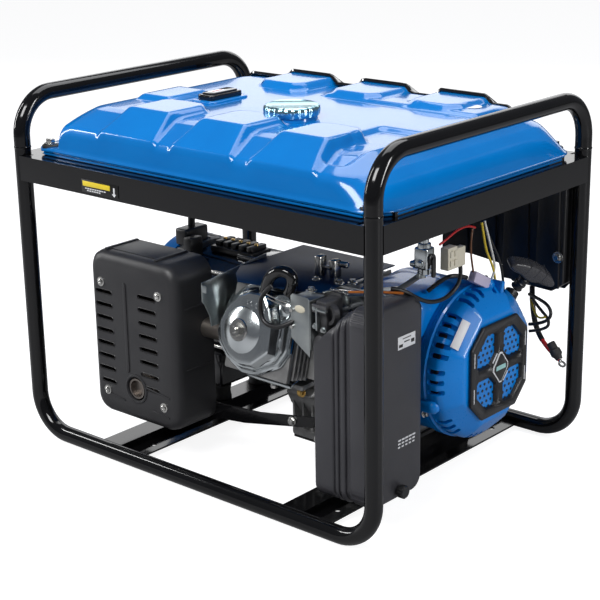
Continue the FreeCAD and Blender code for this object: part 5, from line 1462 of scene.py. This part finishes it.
# ------------------------------------------------------------ floor, lights and camera
floor_mesh = bpy.data.meshes.new("floor")
floor_bm = bmesh.new()
bmesh.ops.create_grid(floor_bm, x_segments=1, y_segments=1, size=40)
floor_bm.to_mesh(floor_mesh)
floor_bm.free()
floor_material = bpy.data.materials.new("pale_floor")
floor_material.use_nodes = True
floor_shader = floor_material.node_tree.nodes["Principled BSDF"]
floor_shader.inputs["Base Color"].default_value = (0.30, 0.30, 0.31, 1)
floor_shader.inputs["Roughness"].default_value = 0.6
floor_nodes, floor_links = floor_material.node_tree.nodes, floor_material.node_tree.links
floor_sight = floor_nodes.new("ShaderNodeLightPath")
floor_glow = floor_nodes.new("ShaderNodeMix")
floor_glow.data_type = "RGBA"
floor_glow.inputs[6].default_value = (0.05, 0.05, 0.05, 1)
floor_glow.inputs[7].default_value = (1, 1, 1, 1)
floor_links.new(floor_sight.outputs["Is Camera Ray"], floor_glow.inputs["Factor"])
floor_links.new(floor_glow.outputs[2], floor_shader.inputs["Emission Color"])
floor_shader.inputs["Emission Strength"].default_value = 0.9
floor_mesh.materials.append(floor_material)
floor = bpy.data.objects.new("floor", floor_mesh)
bpy.context.scene.collection.objects.link(floor)

world = bpy.data.worlds.new("studio")
bpy.context.scene.world = world
world.use_nodes = True
sky, sky_links = world.node_tree.nodes, world.node_tree.links
room = sky["Background"]
room.inputs["Color"].default_value = (0.86, 0.90, 1.0, 1)
room.inputs["Strength"].default_value = 0.14
backdrop = sky.new("ShaderNodeBackground")
backdrop.inputs["Color"].default_value = (1, 1, 1, 1)
backdrop.inputs["Strength"].default_value = 1.0
sight = sky.new("ShaderNodeLightPath")
either = sky.new("ShaderNodeMixShader")
sky_links.new(sight.outputs["Is Camera Ray"], either.inputs["Fac"])
sky_links.new(room.outputs["Background"], either.inputs[1])
sky_links.new(backdrop.outputs["Background"], either.inputs[2])
sky_links.new(either.outputs["Shader"], sky["World Output"].inputs["Surface"])


def soft_light(name, spot, aim, size, power, colour=(1, 1, 1)):
    """Large rectangular lamp that faces a point."""
    lamp = bpy.data.lights.new(name, "AREA")
    lamp.shape = "RECTANGLE"
    lamp.size, lamp.size_y = size
    lamp.energy = power
    lamp.color = colour
    holder = bpy.data.objects.new(name, lamp)
    holder.location = spot
    holder.rotation_euler = (Vector(aim) - Vector(spot)).to_track_quat("-Z", "Y").to_euler()
    bpy.context.scene.collection.objects.link(holder)


soft_light("top_light", (-0.2, 0.6, 2.4), (0, 0, 0.3), (1.8, 1.8), 34, (0.97, 0.98, 1.0))
soft_light("key_light", (0.3, -2.3, 2.5), (0, 0, 0.3), (1.5, 1.2), 84)
soft_light("left_strip", (-2.3, -1.1, 1.3), (0, 0, 0.3), (0.16, 1.8), 26)
soft_light("right_strip", (2.7, 0.4, 1.2), (0.2, 0, 0.3), (0.3, 1.6), 34)
soft_light("rear_light", (-1.6, 2.6, 1.5), (0, 0, 0.3), (3.4, 1.6), 26)

CAMERA_SPOT = Vector((1.4928, -1.7047, 0.9606))
CAMERA_AIM = Vector((0.2282, -0.2632, 0.3397))
CAMERA_ROLL = math.radians(-0.977)
lens = bpy.data.cameras.new("camera")
lens.lens = 93.07
lens.sensor_width = 36
camera = bpy.data.objects.new("camera", lens)
camera.matrix_world = (Matrix.Translation(CAMERA_SPOT)
                       @ (CAMERA_AIM - CAMERA_SPOT).to_track_quat("-Z", "Y").to_matrix().to_4x4()
                       @ Matrix.Rotation(CAMERA_ROLL, 4, "Z"))
bpy.context.scene.collection.objects.link(camera)
bpy.context.scene.camera = camera
bpy.context.scene.view_settings.view_transform = "Standard"
